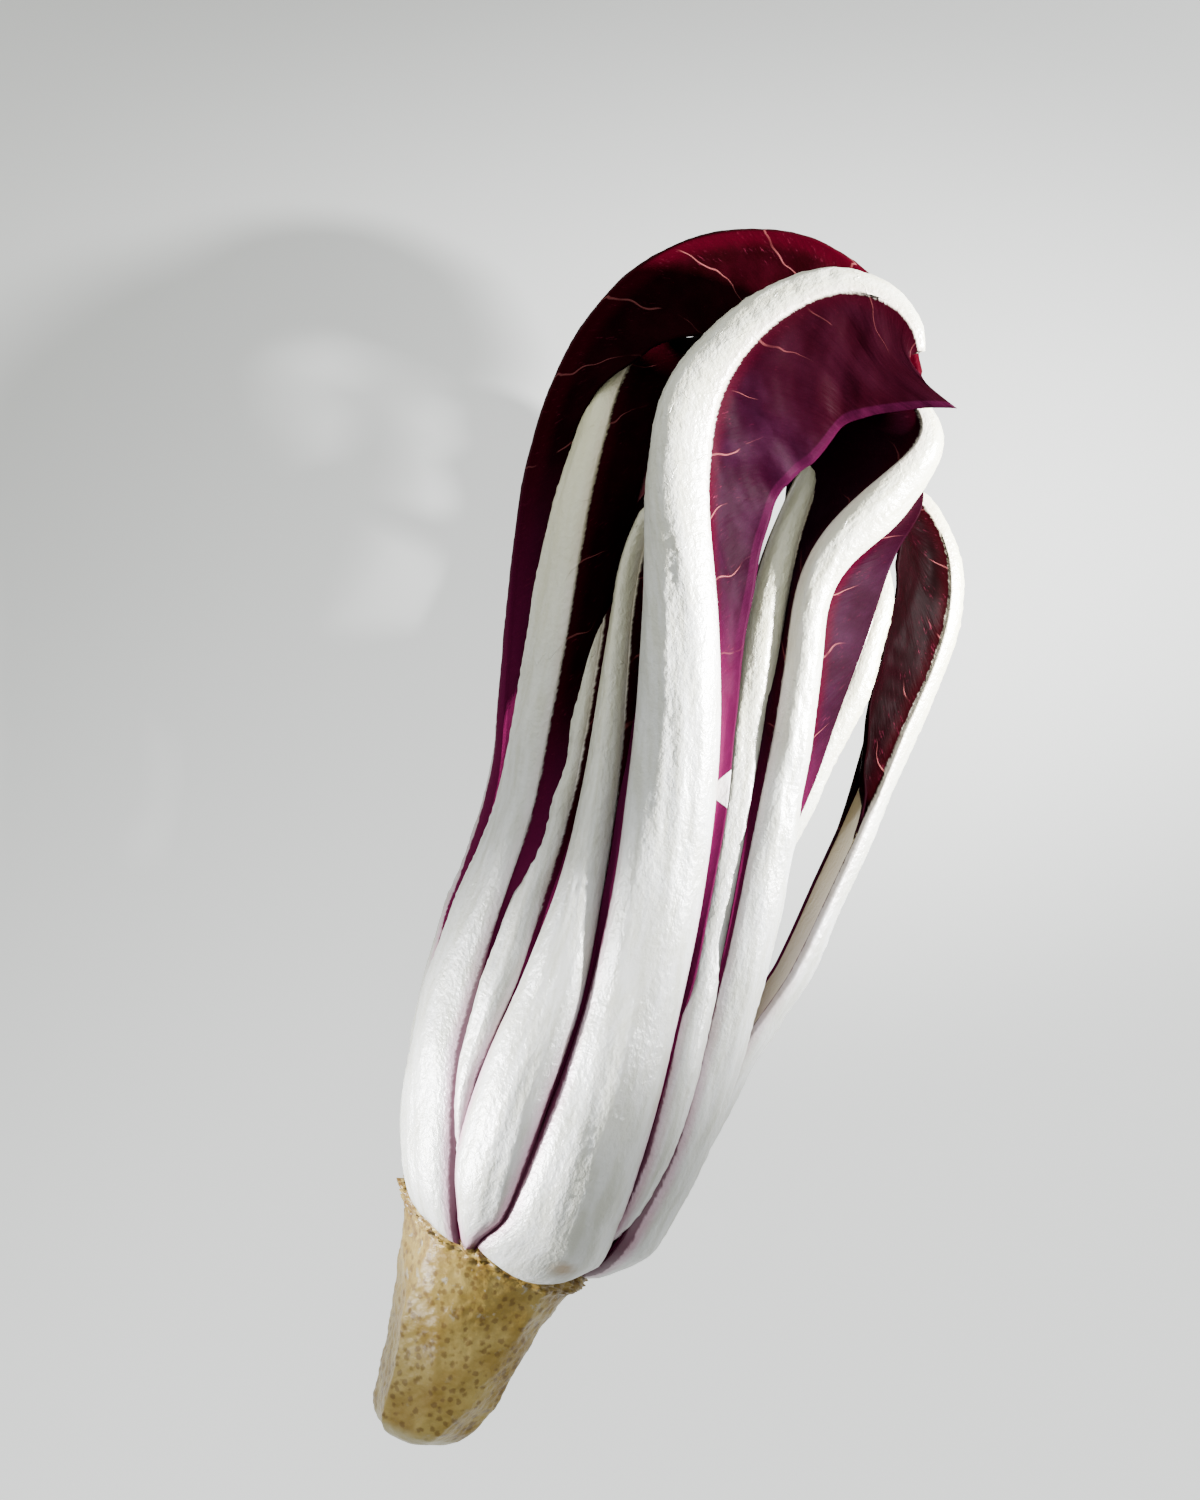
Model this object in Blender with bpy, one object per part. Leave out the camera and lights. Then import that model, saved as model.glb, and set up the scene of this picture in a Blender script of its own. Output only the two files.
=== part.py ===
"""Head of late red Treviso radicchio, lying on its side as picked and trimmed.

The pared root stump points to -Y and the leaf tips to +Y, with +X to the right as the head is seen from above.
Every leaf is a thick white rib with a thin red blade along both edges. The leaves stand round the stem in
three whorls: nine outer ones, six inner ones and two in the heart. Ribs and blades are lofts along each
leaf's own line, because their section changes all the way from the stem to the hooked tip. The head rests on
the rib of the lowest outer leaf and on those beside it.
All sizes below are in millimetres and degrees.
"""

import math

import bpy
import bmesh
import mathutils
import numpy as np

MM = 0.001

# Root stump and the stem inside the head, as (radius, distance along the head) from the cut end up.
STUMP_PROFILE = [
    (8.4, -40.0),
    (10.2, -37.0),
    (11.6, -30.0),
    (13.4, -15.5),
    (15.8, -5.0),
    (15.8, -3.2),
    (14.4, -1.8),
    (11.8, 0.0),
    (8.2, 4.0),
    (3.4, 8.0),
    (1.8, 12.5),
]
STUMP_STEPS = 18
STUMP_CENTRE = (-1.4, 27.5)
# The crown is slanted: each millimetre to the right it lies this much nearer the root, fading out up the head.
CROWN_SLANT = 0.17
SLANT_FADE = (0.0, 70.0)

# The whorls near the stem: distance along the head, centre across and up, radius across and up.
OUTER_WHORL = [
    (1.4, 0.0, 28.0, 15.8, 15.8),
    (5.0, 0.9, 27.6, 20.4, 19.4),
    (12.0, 2.0, 27.2, 23.8, 22.0),
    (26.0, 3.0, 26.6, 26.8, 23.8),
    (44.0, 4.4, 26.0, 28.8, 23.8),
]
INNER_WHORL = [
    (4.6, 1.0, 27.8, 10.9, 10.9),
    (12.0, 2.4, 27.8, 17.2, 15.4),
    (26.0, 3.8, 27.4, 20.2, 17.4),
    (44.0, 5.2, 27.0, 22.2, 17.4),
]
HEART_WHORL = [
    (10.0, 1.8, 27.6, 6.6, 6.6),
    (24.0, 3.4, 27.2, 9.8, 9.0),
    (42.0, 4.6, 27.0, 10.8, 9.8),
]

BLADE_THICKNESS = 0.7
RIB_BLADE_GAP = 0.35
EDGE_THICKNESS = 1.3
BLADE_START = 0.02
FLOOR = 0.0
FRAME_STEPS = 6
RIB_END_GAP = 2
# Where a rib is too narrow for its two wings folded in, they open in these steps until they are this far apart.
FOLD_STEP = 5
WINGS_APART = 1.6
# The two wings join over the last two stations, where they lie flatter and are short.
TIP_FOLD = 50
TIP_REACH = 2.6

RIB_COLOUR = (0.86, 0.86, 0.80)
BLADE_COLOUR = (0.15, 0.012, 0.045)
STUMP_COLOUR = (0.62, 0.50, 0.30)


def slanted(x, y):
    """How far along the head a point of a whorl lies, with the crown's slant."""
    low, high = SLANT_FADE
    return y - CROWN_SLANT * x * min(1.0, max(0.0, 1 - (y - low) / (high - low)))


def stem_points(whorl, stem):
    """Points of one rib's line where it still stands in its whorl, as (x, y, z, facing, rib width, bend)."""
    rows = np.array(whorl)
    radius = (rows[:, 3] + rows[:, 4]) / 2
    bend = np.cos(np.arctan(np.gradient(radius, rows[:, 0]))) / radius
    points = []
    for (y, cx, cz, rx, rz), (angle, width), curve in zip(whorl, stem, bend):
        turn = math.radians(angle)
        x = cx + rx * math.sin(turn)
        points.append((x, slanted(x, y), cz + rz * math.cos(turn), angle, width, curve))
    return points


def wing(fold, reach, curl=10.0):
    """One blade's (share of the leaf's length, fold, curl, reach): a hem up the rib that opens near the tip."""
    return [
        (0.0, 140, 0, 0.8),
        (0.46, 140, 0, 1.6),
        (0.76, fold, curl, reach),
        (0.88, fold, curl, 0.9 * reach),
        (1.0, fold, curl, 1.0),
    ]


# One entry a leaf. stem gives where it stands at each row of its whorl and how wide its rib is there, as
# (angle, width): 0 faces up, 90 to +X, 180 down. free is its line beyond the whorl, as (x, y, z, facing, width).
# left and right are its blades: fold is how far each turns in from flat, curl how far it bends across its reach.
LEAVES = {}


def leaf(name, whorl, stem, free, thick, left, right):
    LEAVES[name] = {
        "path": stem_points(whorl, stem) + [(*point, 0.0) for point in free],
        "steps": 2 if whorl is OUTER_WHORL else 1,
        "cells": 2 if whorl is OUTER_WHORL else 1,
        "thick": thick,
        "wings": (left, right),
    }


leaf(
    "outer_leaf_1", OUTER_WHORL, [(30, 23), (23, 21.4), (20, 20), (17, 18.8), (13, 17)],
    [
        (9.2, 64.0, 51.6, 9, 15.6),
        (6.4, 80.0, 53.2, 2, 15.2),
        (2.6, 96.0, 54.0, -8, 14.6),
        (-2.9, 112.6, 54.0, -22, 13.6),
        (-8.6, 128.0, 53.6, -42, 12.4),
        (-11.0, 141.0, 53.0, -57, 11.2),
        (-9.4, 153.6, 52.2, -68, 10.0),
        (-4.0, 163.6, 51.6, -74, 8.6),
        (4.1, 171.3, 51.2, -78, 7.2),
        (13.0, 173.6, 51.0, -80, 6.0),
        (20.5, 170.8, 51.0, -82, 4.6),
        (24.8, 164.6, 51.2, -82, 3.0),
    ],
    5.4,
    [
        (0, 140, 0, 0.8), (0.3, 140, 0, 1.4), (0.55, 100, 0, 6), (0.8, 88, 8, 11), (0.9, 88, 8, 10),
        (1, 88, 8, 3),
    ],
    [
        (0, 140, 0, 0.8), (0.2, 100, 0, 1.6), (0.42, 78, 0, 5), (0.56, 84, 6, 8.5), (0.62, 82, 10, 12),
        (0.68, 80, 14, 15), (0.74, 80, 16, 18), (0.84, 82, 16, 17), (0.9, 84, 14, 12),
        (0.95, 86, 12, 8), (1, 86, 10, 5),
    ],
)
leaf(
    "outer_leaf_2", OUTER_WHORL, [(87, 8.4), (70, 10.8), (62.5, 12.8), (61, 12.2), (53, 10.6)],
    [
        (27.8, 60.0, 43.0, 50, 10.2),
        (26.6, 73.0, 44.6, 44, 9.4),
        (25.0, 87.0, 46.0, 36, 8.4),
        (23.2, 100.0, 47.0, 28, 7.6),
        (21.0, 113.0, 47.4, 20, 7.0),
        (19.8, 122.0, 47.4, 16, 7.2),
        (21.0, 130.5, 47.2, 20, 8.4),
        (25.0, 137.4, 46.8, 30, 9.2),
        (28.8, 144.0, 46.2, 42, 9.2),
        (31.0, 151.0, 45.2, 60, 8.0),
        (28.6, 157.4, 43.8, 76, 6.4),
        (22.0, 160.0, 42.6, 84, 4.6),
        (16.0, 158.0, 42.0, 84, 2.6),
    ],
    4.6,
    [
        (0, 140, 0, 0.8), (0.7, 130, 0, 1.2), (0.78, 96, 6, 5), (0.84, 88, 10, 10), (0.88, 88, 10, 8),
        (0.94, 88, 10, 4), (1, 88, 10, 2),
    ],
    [
        (0, 140, 0, 0.8), (0.34, 140, 0, 0.8), (0.46, 60, 0, 1.4), (0.52, 30, 6, 2.6), (0.6, 20, 10, 5),
        (0.67, 14, 14, 7.4), (0.74, 20, 20, 7.5), (0.8, 50, 20, 6), (1, 88, 10, 1),
    ],
)
leaf(
    "outer_leaf_3", OUTER_WHORL, [(118, 7.4), (103, 11), (98, 13.6), (96, 14.4), (98, 13.8)],
    [
        (37.0, 58.0, 22.0, 100, 13.0),
        (39.6, 74.0, 20.4, 104, 12.0),
        (41.8, 90.0, 19.0, 106, 10.8),
        (43.4, 105.0, 18.2, 106, 9.6),
        (45.4, 119.0, 17.8, 103, 8.4),
        (45.0, 130.0, 17.8, 99, 7.4),
        (41.4, 139.4, 18.0, 96, 6.0),
        (35.0, 145.6, 18.4, 94, 4.4),
        (28.0, 148.0, 18.6, 92, 2.6),
    ],
    4.8,
    [
        (0, 140, 0, 0.8), (0.46, 140, 0, 1.4), (0.56, 110, 0, 3), (0.76, 84, 10, 9), (0.9, 84, 10, 8),
        (1, 84, 10, 1),
    ],
    wing(84, 8),
)
leaf(
    "outer_leaf_4", OUTER_WHORL, [(150, 8.8), (139.5, 12.2), (136.5, 14.4), (134, 15.8), (137, 15.4)],
    [
        (24.6, 62.0, 6.0, 139, 13.6),
        (26.0, 84.0, 4.2, 142, 11.6),
        (27.0, 106.0, 3.8, 144, 9.6),
        (25.0, 125.0, 5.4, 142, 8.0),
        (19.5, 138.0, 11.0, 138, 6.2),
        (13.0, 141.5, 18.0, 136, 3.2),
    ],
    5.0, wing(90, 9), wing(90, 9),
)
leaf(
    "outer_leaf_5", OUTER_WHORL, [(186.5, 8.8), (178.5, 12.2), (176, 14.4), (174.5, 15.8), (178, 15.8)],
    [
        (5.6, 64.0, 2.4, 179, 14.6),
        (5.6, 88.0, 2.2, 180, 12.4),
        (5.4, 112.0, 2.0, 180, 10.2),
        (4.8, 132.0, 3.6, 180, 8.4),
        (3.8, 146.0, 9.6, 180, 6.8),
        (3.2, 150.5, 18.0, 180, 5.0),
        (2.8, 145.5, 25.0, 180, 2.6),
    ],
    5.2, wing(92, 9), wing(92, 9),
)
leaf(
    "outer_leaf_6", OUTER_WHORL, [(223, 8.8), (217.5, 12.2), (215.5, 14.4), (214.5, 15.8), (217, 15.4)],
    [
        (-13.6, 62.0, 5.4, 218, 13.8),
        (-15.6, 84.0, 4.3, 217, 11.8),
        (-18.0, 106.0, 3.9, 216, 9.8),
        (-19.4, 126.0, 5.2, 217, 8.2),
        (-17.4, 143.0, 10.0, 220, 6.8),
        (-12.5, 151.5, 16.4, 223, 5.0),
        (-6.5, 152.5, 22.6, 224, 2.6),
    ],
    5.0, wing(90, 9), wing(90, 9),
)
leaf(
    "outer_leaf_7", OUTER_WHORL, [(259, 8.8), (256.5, 12.2), (255, 14.4), (255, 15.6), (256, 14.2)],
    [
        (-22.6, 60.0, 21.4, 258, 13.2),
        (-22.8, 76.0, 22.4, 258, 12.4),
        (-25.6, 91.0, 23.4, 258, 11.8),
        (-29.0, 107.0, 24.6, 258, 11.0),
        (-32.0, 123.0, 26.4, 260, 10.2),
        (-33.0, 138.0, 28.4, 261, 9.6),
        (-31.6, 152.0, 30.6, 262, 9.0),
        (-26.8, 165.0, 32.2, 263, 8.4),
        (-18.5, 174.0, 32.4, 264, 7.8),
        (-8.0, 179.0, 32.4, 264, 6.8),
        (3.0, 180.4, 32.4, 265, 5.6),
        (13.0, 177.5, 32.4, 266, 4.2),
        (20.0, 172.5, 32.2, 266, 2.6),
    ],
    5.0,
    [(0, 140, 0, 0.8), (0.5, 140, 0, 1.4), (0.72, 100, 10, 4), (0.9, 92, 10, 7), (1, 88, 10, 1)],
    [
        (0, 140, 0, 0.8), (0.36, 100, 0, 1.2), (0.5, 84, 0, 3.2), (0.6, 84, 0, 3.2), (0.66, 74, 0, 3.4),
        (0.69, 58, 4, 8), (0.71, 58, 8, 11), (0.76, 62, 16, 14), (0.82, 66, 20, 17), (0.92, 72, 20, 15),
        (1, 80, 10, 4),
    ],
)
leaf(
    "outer_leaf_8", OUTER_WHORL, [(311, 18.0), (305.5, 19.0), (301, 18.4), (299, 17.0), (300, 14.8)],
    [
        (-20.0, 61.0, 39.0, 294, 12.4),
        (-19.8, 74.0, 40.0, 294, 11.8),
        (-21.4, 88.0, 41.0, 297, 11.2),
        (-23.2, 103.0, 41.4, 298, 10.8),
        (-24.8, 117.0, 41.0, 297, 10.2),
        (-25.4, 128.0, 39.6, 294, 9.6),
        (-24.8, 138.0, 36.2, 291, 8.2),
        (-22.6, 147.5, 32.8, 288, 6.6),
        (-18.0, 154.0, 30.6, 286, 5.0),
        (-11.6, 156.0, 28.8, 284, 2.8),
    ],
    4.8,
    wing(90, 6),
    [
        (0, 140, 0, 0.8), (0.45, 130, 0, 1.2), (0.55, 100, 0, 3), (0.63, 94, 0, 4.5), (0.72, 94, 0, 7),
        (0.85, 94, 0, 9), (0.93, 92, 0, 8), (1, 92, 0, 1),
    ],
)
leaf(
    "outer_leaf_9", OUTER_WHORL, [(346, 2.4), (345, 6.6), (342, 11.6), (343, 12.6), (343.5, 11.2)],
    [
        (-4.4, 60.0, 48.4, 342, 8.6),
        (-5.0, 74.0, 47.4, 340, 7.2),
        (-6.2, 88.0, 46.0, 336, 6.6),
        (-7.8, 101.0, 44.2, 330, 6.0),
        (-9.0, 114.0, 41.6, 324, 5.2),
        (-8.4, 127.0, 38.2, 320, 4.4),
        (-4.0, 136.0, 35.2, 316, 2.6),
    ],
    4.6, wing(96, 6), wing(96, 6),
)
leaf(
    "inner_leaf_1", INNER_WHORL, [(68, 3.6), (57, 5.6), (53, 6.6), (47, 6.2)],
    [
        (20.6, 60.0, 40.8, 42, 7.4),
        (18.8, 76.0, 42.6, 32, 7.2),
        (16.6, 92.0, 43.8, 20, 7.2),
        (13.8, 107.0, 44.2, 10, 7.4),
        (12.2, 120.0, 43.2, 4, 6.0),
        (11.8, 131.0, 41.0, 2, 4.6),
        (12.8, 141.0, 37.4, 2, 3.6),
        (13.6, 147.0, 33.4, 2, 2.2),
    ],
    3.6, wing(100, 5), wing(100, 5),
)
leaf(
    "inner_leaf_2", INNER_WHORL, [(92, 5.6), (92, 7.0), (86, 7.6), (80, 7.4)],
    [
        (28.2, 60.0, 32.0, 76, 7.2),
        (29.4, 77.0, 35.0, 68, 6.8),
        (30.4, 92.0, 36.6, 60, 6.4),
        (31.6, 104.0, 37.4, 56, 6.0),
        (32.6, 115.0, 37.2, 56, 5.4),
        (32.2, 125.0, 35.8, 62, 4.4),
        (28.6, 132.0, 33.6, 70, 3.4),
        (23.0, 134.0, 31.6, 74, 2.2),
    ],
    3.4, wing(92, 5), wing(88, 7),
)
leaf(
    "inner_leaf_3", INNER_WHORL, [(140, 6.0), (140, 7.6), (139, 8.6), (141, 8.6)],
    [
        (17.2, 62.0, 13.2, 143, 8.0),
        (18.2, 86.0, 13.6, 143, 6.8),
        (18.6, 106.0, 15.4, 140, 5.8),
        (16.4, 121.0, 20.8, 136, 4.4),
        (12.6, 125.5, 27.2, 134, 2.4),
    ],
    3.0, wing(98, 5), wing(98, 5),
)
leaf(
    "inner_leaf_4", INNER_WHORL, [(190, 6.0), (192, 7.6), (194, 8.6), (196, 8.6)],
    [
        (-1.6, 62.0, 9.6, 197, 8.0),
        (-3.2, 86.0, 10.6, 198, 6.8),
        (-5.0, 108.0, 12.4, 200, 5.8),
        (-6.2, 125.0, 17.0, 202, 4.6),
        (-6.0, 132.0, 24.4, 204, 2.4),
    ],
    3.4, wing(98, 5), wing(98, 5),
)
leaf(
    "inner_leaf_5", INNER_WHORL, [(246, 6.0), (250, 7.6), (252, 8.6), (256, 8.4)],
    [
        (-16.4, 62.0, 23.6, 260, 7.8),
        (-17.0, 84.0, 25.6, 262, 7.0),
        (-20.0, 106.0, 27.6, 264, 6.0),
        (-21.6, 124.0, 27.6, 266, 4.8),
        (-18.0, 136.0, 26.4, 268, 2.4),
    ],
    3.2, wing(96, 5), wing(96, 5),
)
leaf(
    "inner_leaf_6", INNER_WHORL, [(312, 5.6), (310, 6.8), (305, 7.4), (306, 7.0)],
    [
        (-12.4, 60.0, 38.8, 311, 6.8),
        (-12.2, 76.0, 39.2, 313, 6.2),
        (-12.6, 92.0, 38.8, 314, 5.6),
        (-13.4, 106.0, 37.2, 312, 4.8),
        (-13.8, 118.0, 34.6, 310, 3.8),
        (-11.8, 127.0, 32.2, 308, 2.2),
    ],
    3.4, wing(100, 4), wing(100, 5),
)
leaf(
    "heart_leaf_1", HEART_WHORL, [(60, 4.4), (60, 5.4), (60, 5.8)],
    [
        (14.2, 60.0, 32.2, 60, 5.4),
        (13.6, 82.0, 33.4, 58, 4.6),
        (10.4, 104.0, 34.0, 56, 3.6),
        (5.4, 115.0, 34.2, 54, 2.2),
    ],
    2.6, wing(100, 4), wing(100, 4),
)
leaf(
    "heart_leaf_2", HEART_WHORL, [(240, 4.4), (240, 5.4), (240, 5.8)],
    [
        (-4.6, 60.0, 22.4, 240, 5.4),
        (-4.8, 82.0, 22.4, 238, 4.6),
        (-2.4, 101.0, 23.4, 236, 3.6),
        (2.6, 111.0, 25.2, 234, 2.2),
    ],
    2.6, wing(100, 4), wing(100, 4),
)


def smooth_line(points, steps):
    """A centripetal Catmull-Rom curve through points, with steps samples to each span."""
    ends = np.vstack([2 * points[0] - points[1], points, 2 * points[-1] - points[-2]])
    out = []
    for i in range(len(points) - 1):
        quad = ends[i : i + 4]
        gaps = np.sqrt(np.linalg.norm(np.diff(quad[:, :3], axis=0), axis=1))
        knots = np.concatenate([[0.0], np.cumsum(gaps)])
        for k in range(steps):
            t = knots[1] + (knots[2] - knots[1]) * k / steps
            level = quad
            for depth in (1, 2, 3):
                spans = knots[depth:] - knots[:-depth]
                nearer = (knots[depth:] - t)[: len(level) - 1] / spans[: len(level) - 1]
                level = nearer[:, None] * level[:-1] + (1 - nearer)[:, None] * level[1:]
            out.append(level[0])
    out.append(points[-1])
    return np.array(out)


def turned(vector, axis, angle):
    """vector turned about a unit axis."""
    c, s = math.cos(angle), math.sin(angle)
    return vector * c + np.cross(axis, vector) * s + axis * (axis @ vector) * (1 - c)


def frames_along(line, facing):
    """(along, outward, right) at each sample. outward is carried along the line, and then turned to its facing."""
    along = np.gradient(line, axis=0)
    along /= np.linalg.norm(along, axis=1)[:, None]
    start = math.radians(facing[0])
    carried = np.array([math.sin(start), 0.0, math.cos(start)])
    frames = []
    for i, t in enumerate(along):
        if i:
            axis = np.cross(along[i - 1], t)
            size = np.linalg.norm(axis)
            if size > 1e-9:
                carried = turned(carried, axis / size, math.asin(min(1.0, size)))
        carried = carried - t * (carried @ t)
        carried = carried / np.linalg.norm(carried)
        outward = turned(carried, t, math.radians(facing[i] - facing[0]))
        frames.append((t, outward, np.cross(t, outward)))
    return frames


def rib_thickness(share, most):
    """The rib's thickness at a share of the leaf's length: slimmer at the stem, fullest in the belly."""
    return most * np.interp(share, [0.0, 0.12, 0.3, 0.6, 0.85, 1.0], [0.66, 0.94, 1.0, 0.92, 0.76, 0.34])


def edge_inset(half):
    """How far a rib's edge steps back, where its blade grows out."""
    return min(1.6, 0.2 * half)


# Triangles that close a rib's end, by the order of its outline's points: its two stepped edges, then the middle.
RIB_CAP = [(0, 1, 2), (0, 2, 3), (5, 6, 7), (4, 5, 7), (3, 4, 9), (0, 3, 9), (4, 7, 9), (0, 9, 10), (7, 8, 9)]


def rib_section(width, thick, edge):
    """The rib's outline across, as (right, outward) points: a fleshy back, a step at each edge, a hollow face."""
    half = width / 2
    inset = edge_inset(half)
    back = [
        (half - inset, edge),
        (half, 0.42 * thick + 0.2 * edge),
        (0.72 * half, 0.86 * thick),
        (0.3 * half, thick),
    ]
    hollow = 0.16 * thick
    right = back
    left = [(-x, n) for x, n in reversed(back)]
    return right + left + [(-(half - inset), 0.0), (0.0, hollow), (half - inset, 0.0)]


def blade_sections(station, side, cells):
    """(outer, inner) points of one blade across, from the rib's edge to its margin."""
    half, edge = station["width"] / 2, station["edge"]
    fold, curl, reach = station["wings"][0 if side < 0 else 1]
    root = half - edge_inset(half) - edge / 2
    while fold > 0:
        angle = math.radians(fold)
        clear = 0.75 * edge + RIB_BLADE_GAP
        if fold > 90:
            clear = max(clear, (edge / 2 + RIB_BLADE_GAP - BLADE_THICKNESS / 2 * math.cos(angle)) / math.sin(angle))
        ends = root + clear * math.cos(angle) + reach * math.cos(math.radians(fold + curl / 2))
        if min(ends, root + clear * math.cos(angle)) > WINGS_APART / 2:
            break
        fold -= FOLD_STEP
    way = np.array([side * math.cos(angle), -math.sin(angle)])
    at = np.array([side * root, edge / 2]) + way * clear
    outer, inner = [], []
    for k in range(cells + 1):
        turn = math.radians(fold + curl * k / cells)
        normal = np.array([side * math.sin(turn), math.cos(turn)]) * BLADE_THICKNESS / 2
        outer.append(at + normal)
        inner.append(at - normal)
        turn = math.radians(fold + curl * (k + 0.5) / cells)
        at = at + np.array([side * math.cos(turn), -math.sin(turn)]) * reach / cells
    return outer, inner


def wing_at(rows, share):
    """(fold, curl, reach) of a blade at a share of the leaf's length."""
    shares, *columns = zip(*rows)
    return [float(np.interp(share, shares, column)) for column in columns]


def leaf_stations(spec):
    """What the lofts of a leaf need at each station. The last one but one is the rib's end, short of the blade's."""
    path = np.array(spec["path"], float)
    fine = smooth_line(path, spec["steps"] * FRAME_STEPS)
    frames = frames_along(fine[:, :3], fine[:, 3])
    lengths = np.concatenate([[0.0], np.cumsum(np.linalg.norm(np.diff(fine[:, :3], axis=0), axis=1))])

    def station(i):
        share = lengths[i] / lengths[-1]
        thick = float(rib_thickness(share, spec["thick"]))
        return {
            "at": fine[i, :3],
            "frame": frames[i],
            "share": share,
            "width": fine[i, 4],
            "bend": fine[i, 5],
            "thick": thick,
            "edge": min(EDGE_THICKNESS, 0.45 * thick),
            "wings": [wing_at(rows, share) for rows in spec["wings"]],
        }

    last = len(fine) - 1
    stations = [station(i) for i in range(0, last + 1, FRAME_STEPS)]
    for tip in stations[-2:]:
        tip["wings"] = [(min(fold, TIP_FOLD), 0.0, min(reach, TIP_REACH)) for fold, _, reach in tip["wings"]]
    return stations, stations[:-2] + [station(last - FRAME_STEPS - RIB_END_GAP)]


def placed(station, point):
    """A point of the section, (right, outward), bent round the whorl and put in space above the floor."""
    _, outward, right = station["frame"]
    across, out = point[0], point[1] - station["thick"] / 2
    bend = max(station["bend"], 1e-6)
    turn = across * bend
    across, out = (1 / bend + out) * math.sin(turn), (1 / bend + out) * math.cos(turn) - 1 / bend
    spot = station["at"] + right * across + outward * out
    spot[2] = max(spot[2], FLOOR)
    return spot


def mesh_object(name, points, faces, material):
    mesh = bpy.data.meshes.new(name)
    mesh.from_pydata([tuple(p * MM) for p in points], [], faces)
    mesh.materials.append(material)
    obj = bpy.data.objects.new(name, mesh)
    HEAD.objects.link(obj)
    return obj


def rib_object(name, spec, material):
    """A closed loft of the rib's outline, up to where it runs out in the blade."""
    stations = leaf_stations(spec)[1]
    rings = [[placed(s, p) for p in rib_section(s["width"], s["thick"], s["edge"])] for s in stations]
    count = len(rings[0])
    faces = []
    for i in range(len(rings) - 1):
        for j in range(count):
            a, b = i * count + j, i * count + (j + 1) % count
            faces += [(a, b + count, b), (a, a + count, b + count)]
    points = [p for ring in rings for p in ring]
    last = len(points) - count
    for a, b, c in RIB_CAP:
        faces += [(a, b, c), (last + c, last + b, last + a)]
    return mesh_object(name, points, faces, material)


def blade_object(name, spec, material):
    """The thin blade: a wing along each edge of the rib, joined where the rib has run out."""
    stations = leaf_stations(spec)[0]
    first = next(i for i, s in enumerate(stations) if s["share"] > BLADE_START)
    used = stations[first:]
    cells = spec["cells"]
    columns = 2 * (cells + 1)
    outer, inner = [], []
    for s in used:
        left, right = blade_sections(s, -1, cells), blade_sections(s, 1, cells)
        outer += [placed(s, p) for p in left[0][::-1] + right[0]]
        inner += [placed(s, p) for p in left[1][::-1] + right[1]]
    last = len(used) - 2
    held = {
        (i, j)
        for i in range(last + 1)
        for j in range(columns - 1)
        if j != cells or i == last
    }
    return mesh_object(name, outer + inner, sheet_faces(held, columns, len(outer)), material)


def sheet_faces(held, columns, offset):
    """Both faces of a sheet over the held cells of a grid, and the walls round their edge."""
    faces = []
    edges = {}
    for i, j in sorted(held):
        a, b = i * columns + j, i * columns + j + 1
        c, d = a + columns, b + columns
        faces += [(a, b, d), (a, d, c)]
        faces += [(a + offset, d + offset, b + offset), (a + offset, c + offset, d + offset)]
        for edge in ((a, b), (b, d), (d, c), (c, a)):
            edges[edge] = edges.get(edge, 0) + 1
    for (a, b) in edges:
        if (b, a) not in edges:
            faces += [(b, a, a + offset), (b, a + offset, b + offset)]
    return faces


def material(name, colour, roughness):
    made = bpy.data.materials.new(name)
    made.use_nodes = True
    shader = made.node_tree.nodes["Principled BSDF"]
    shader.inputs["Base Color"].default_value = (*colour, 1.0)
    shader.inputs["Roughness"].default_value = roughness
    shader.inputs["Metallic"].default_value = 0.0
    made.diffuse_color = (*colour, 1.0)
    return made


def stump_object(skin):
    """The root and stem: a profile spun round its own line, with the crown's slant."""
    bm = bmesh.new()
    ends = [(0.0, STUMP_PROFILE[0][1])] + STUMP_PROFILE + [(0.0, STUMP_PROFILE[-1][1] + 1.0)]
    verts = [bm.verts.new((radius, y, 0.0)) for radius, y in ends]
    edges = [bm.edges.new(pair) for pair in zip(verts, verts[1:])]
    turn = 2 * math.pi
    bmesh.ops.spin(
        bm, geom=verts + edges, cent=(0, 0, 0), axis=(0, 1, 0), angle=turn, steps=STUMP_STEPS, use_merge=True
    )
    bmesh.ops.remove_doubles(bm, verts=bm.verts, dist=0.001)
    bmesh.ops.triangulate(bm, faces=bm.faces)
    bmesh.ops.recalc_face_normals(bm, faces=bm.faces)
    for vert in bm.verts:
        vert.co.x += STUMP_CENTRE[0]
        vert.co.z += STUMP_CENTRE[1]
        vert.co.y -= CROWN_SLANT * vert.co.x * min(1.0, max(0.0, 1 + vert.co.y / 20.0))
    bmesh.ops.scale(bm, vec=(MM, MM, MM), verts=bm.verts)
    mesh = bpy.data.meshes.new("root_stump")
    bm.to_mesh(mesh)
    bm.free()
    mesh.materials.append(skin)
    stump = bpy.data.objects.new("root_stump", mesh)
    HEAD.objects.link(stump)
    return stump


for old in list(bpy.data.objects):
    bpy.data.objects.remove(old)
HEAD = bpy.data.collections.new("radicchio_head")
bpy.context.scene.collection.children.link(HEAD)


def centre_across():
    """Moves every mesh so that the middle of the whole box, across and along, lies on the origin."""
    points = np.array([vert.co[:] for obj in HEAD.objects for vert in obj.data.vertices])
    middle = (points.min(axis=0) + points.max(axis=0)) / 2
    for obj in HEAD.objects:
        obj.data.transform(mathutils.Matrix.Translation((-middle[0], -middle[1], 0.0)))


def main():
    white = material("rib_white", RIB_COLOUR, 0.35)
    red = material("blade_red", BLADE_COLOUR, 0.4)
    skin = material("root_skin", STUMP_COLOUR, 0.6)
    stump_object(skin)
    for name, spec in LEAVES.items():
        rib_object(name + "_rib", spec, white)
        blade_object(name + "_blade", spec, red)
    centre_across()


main()
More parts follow.
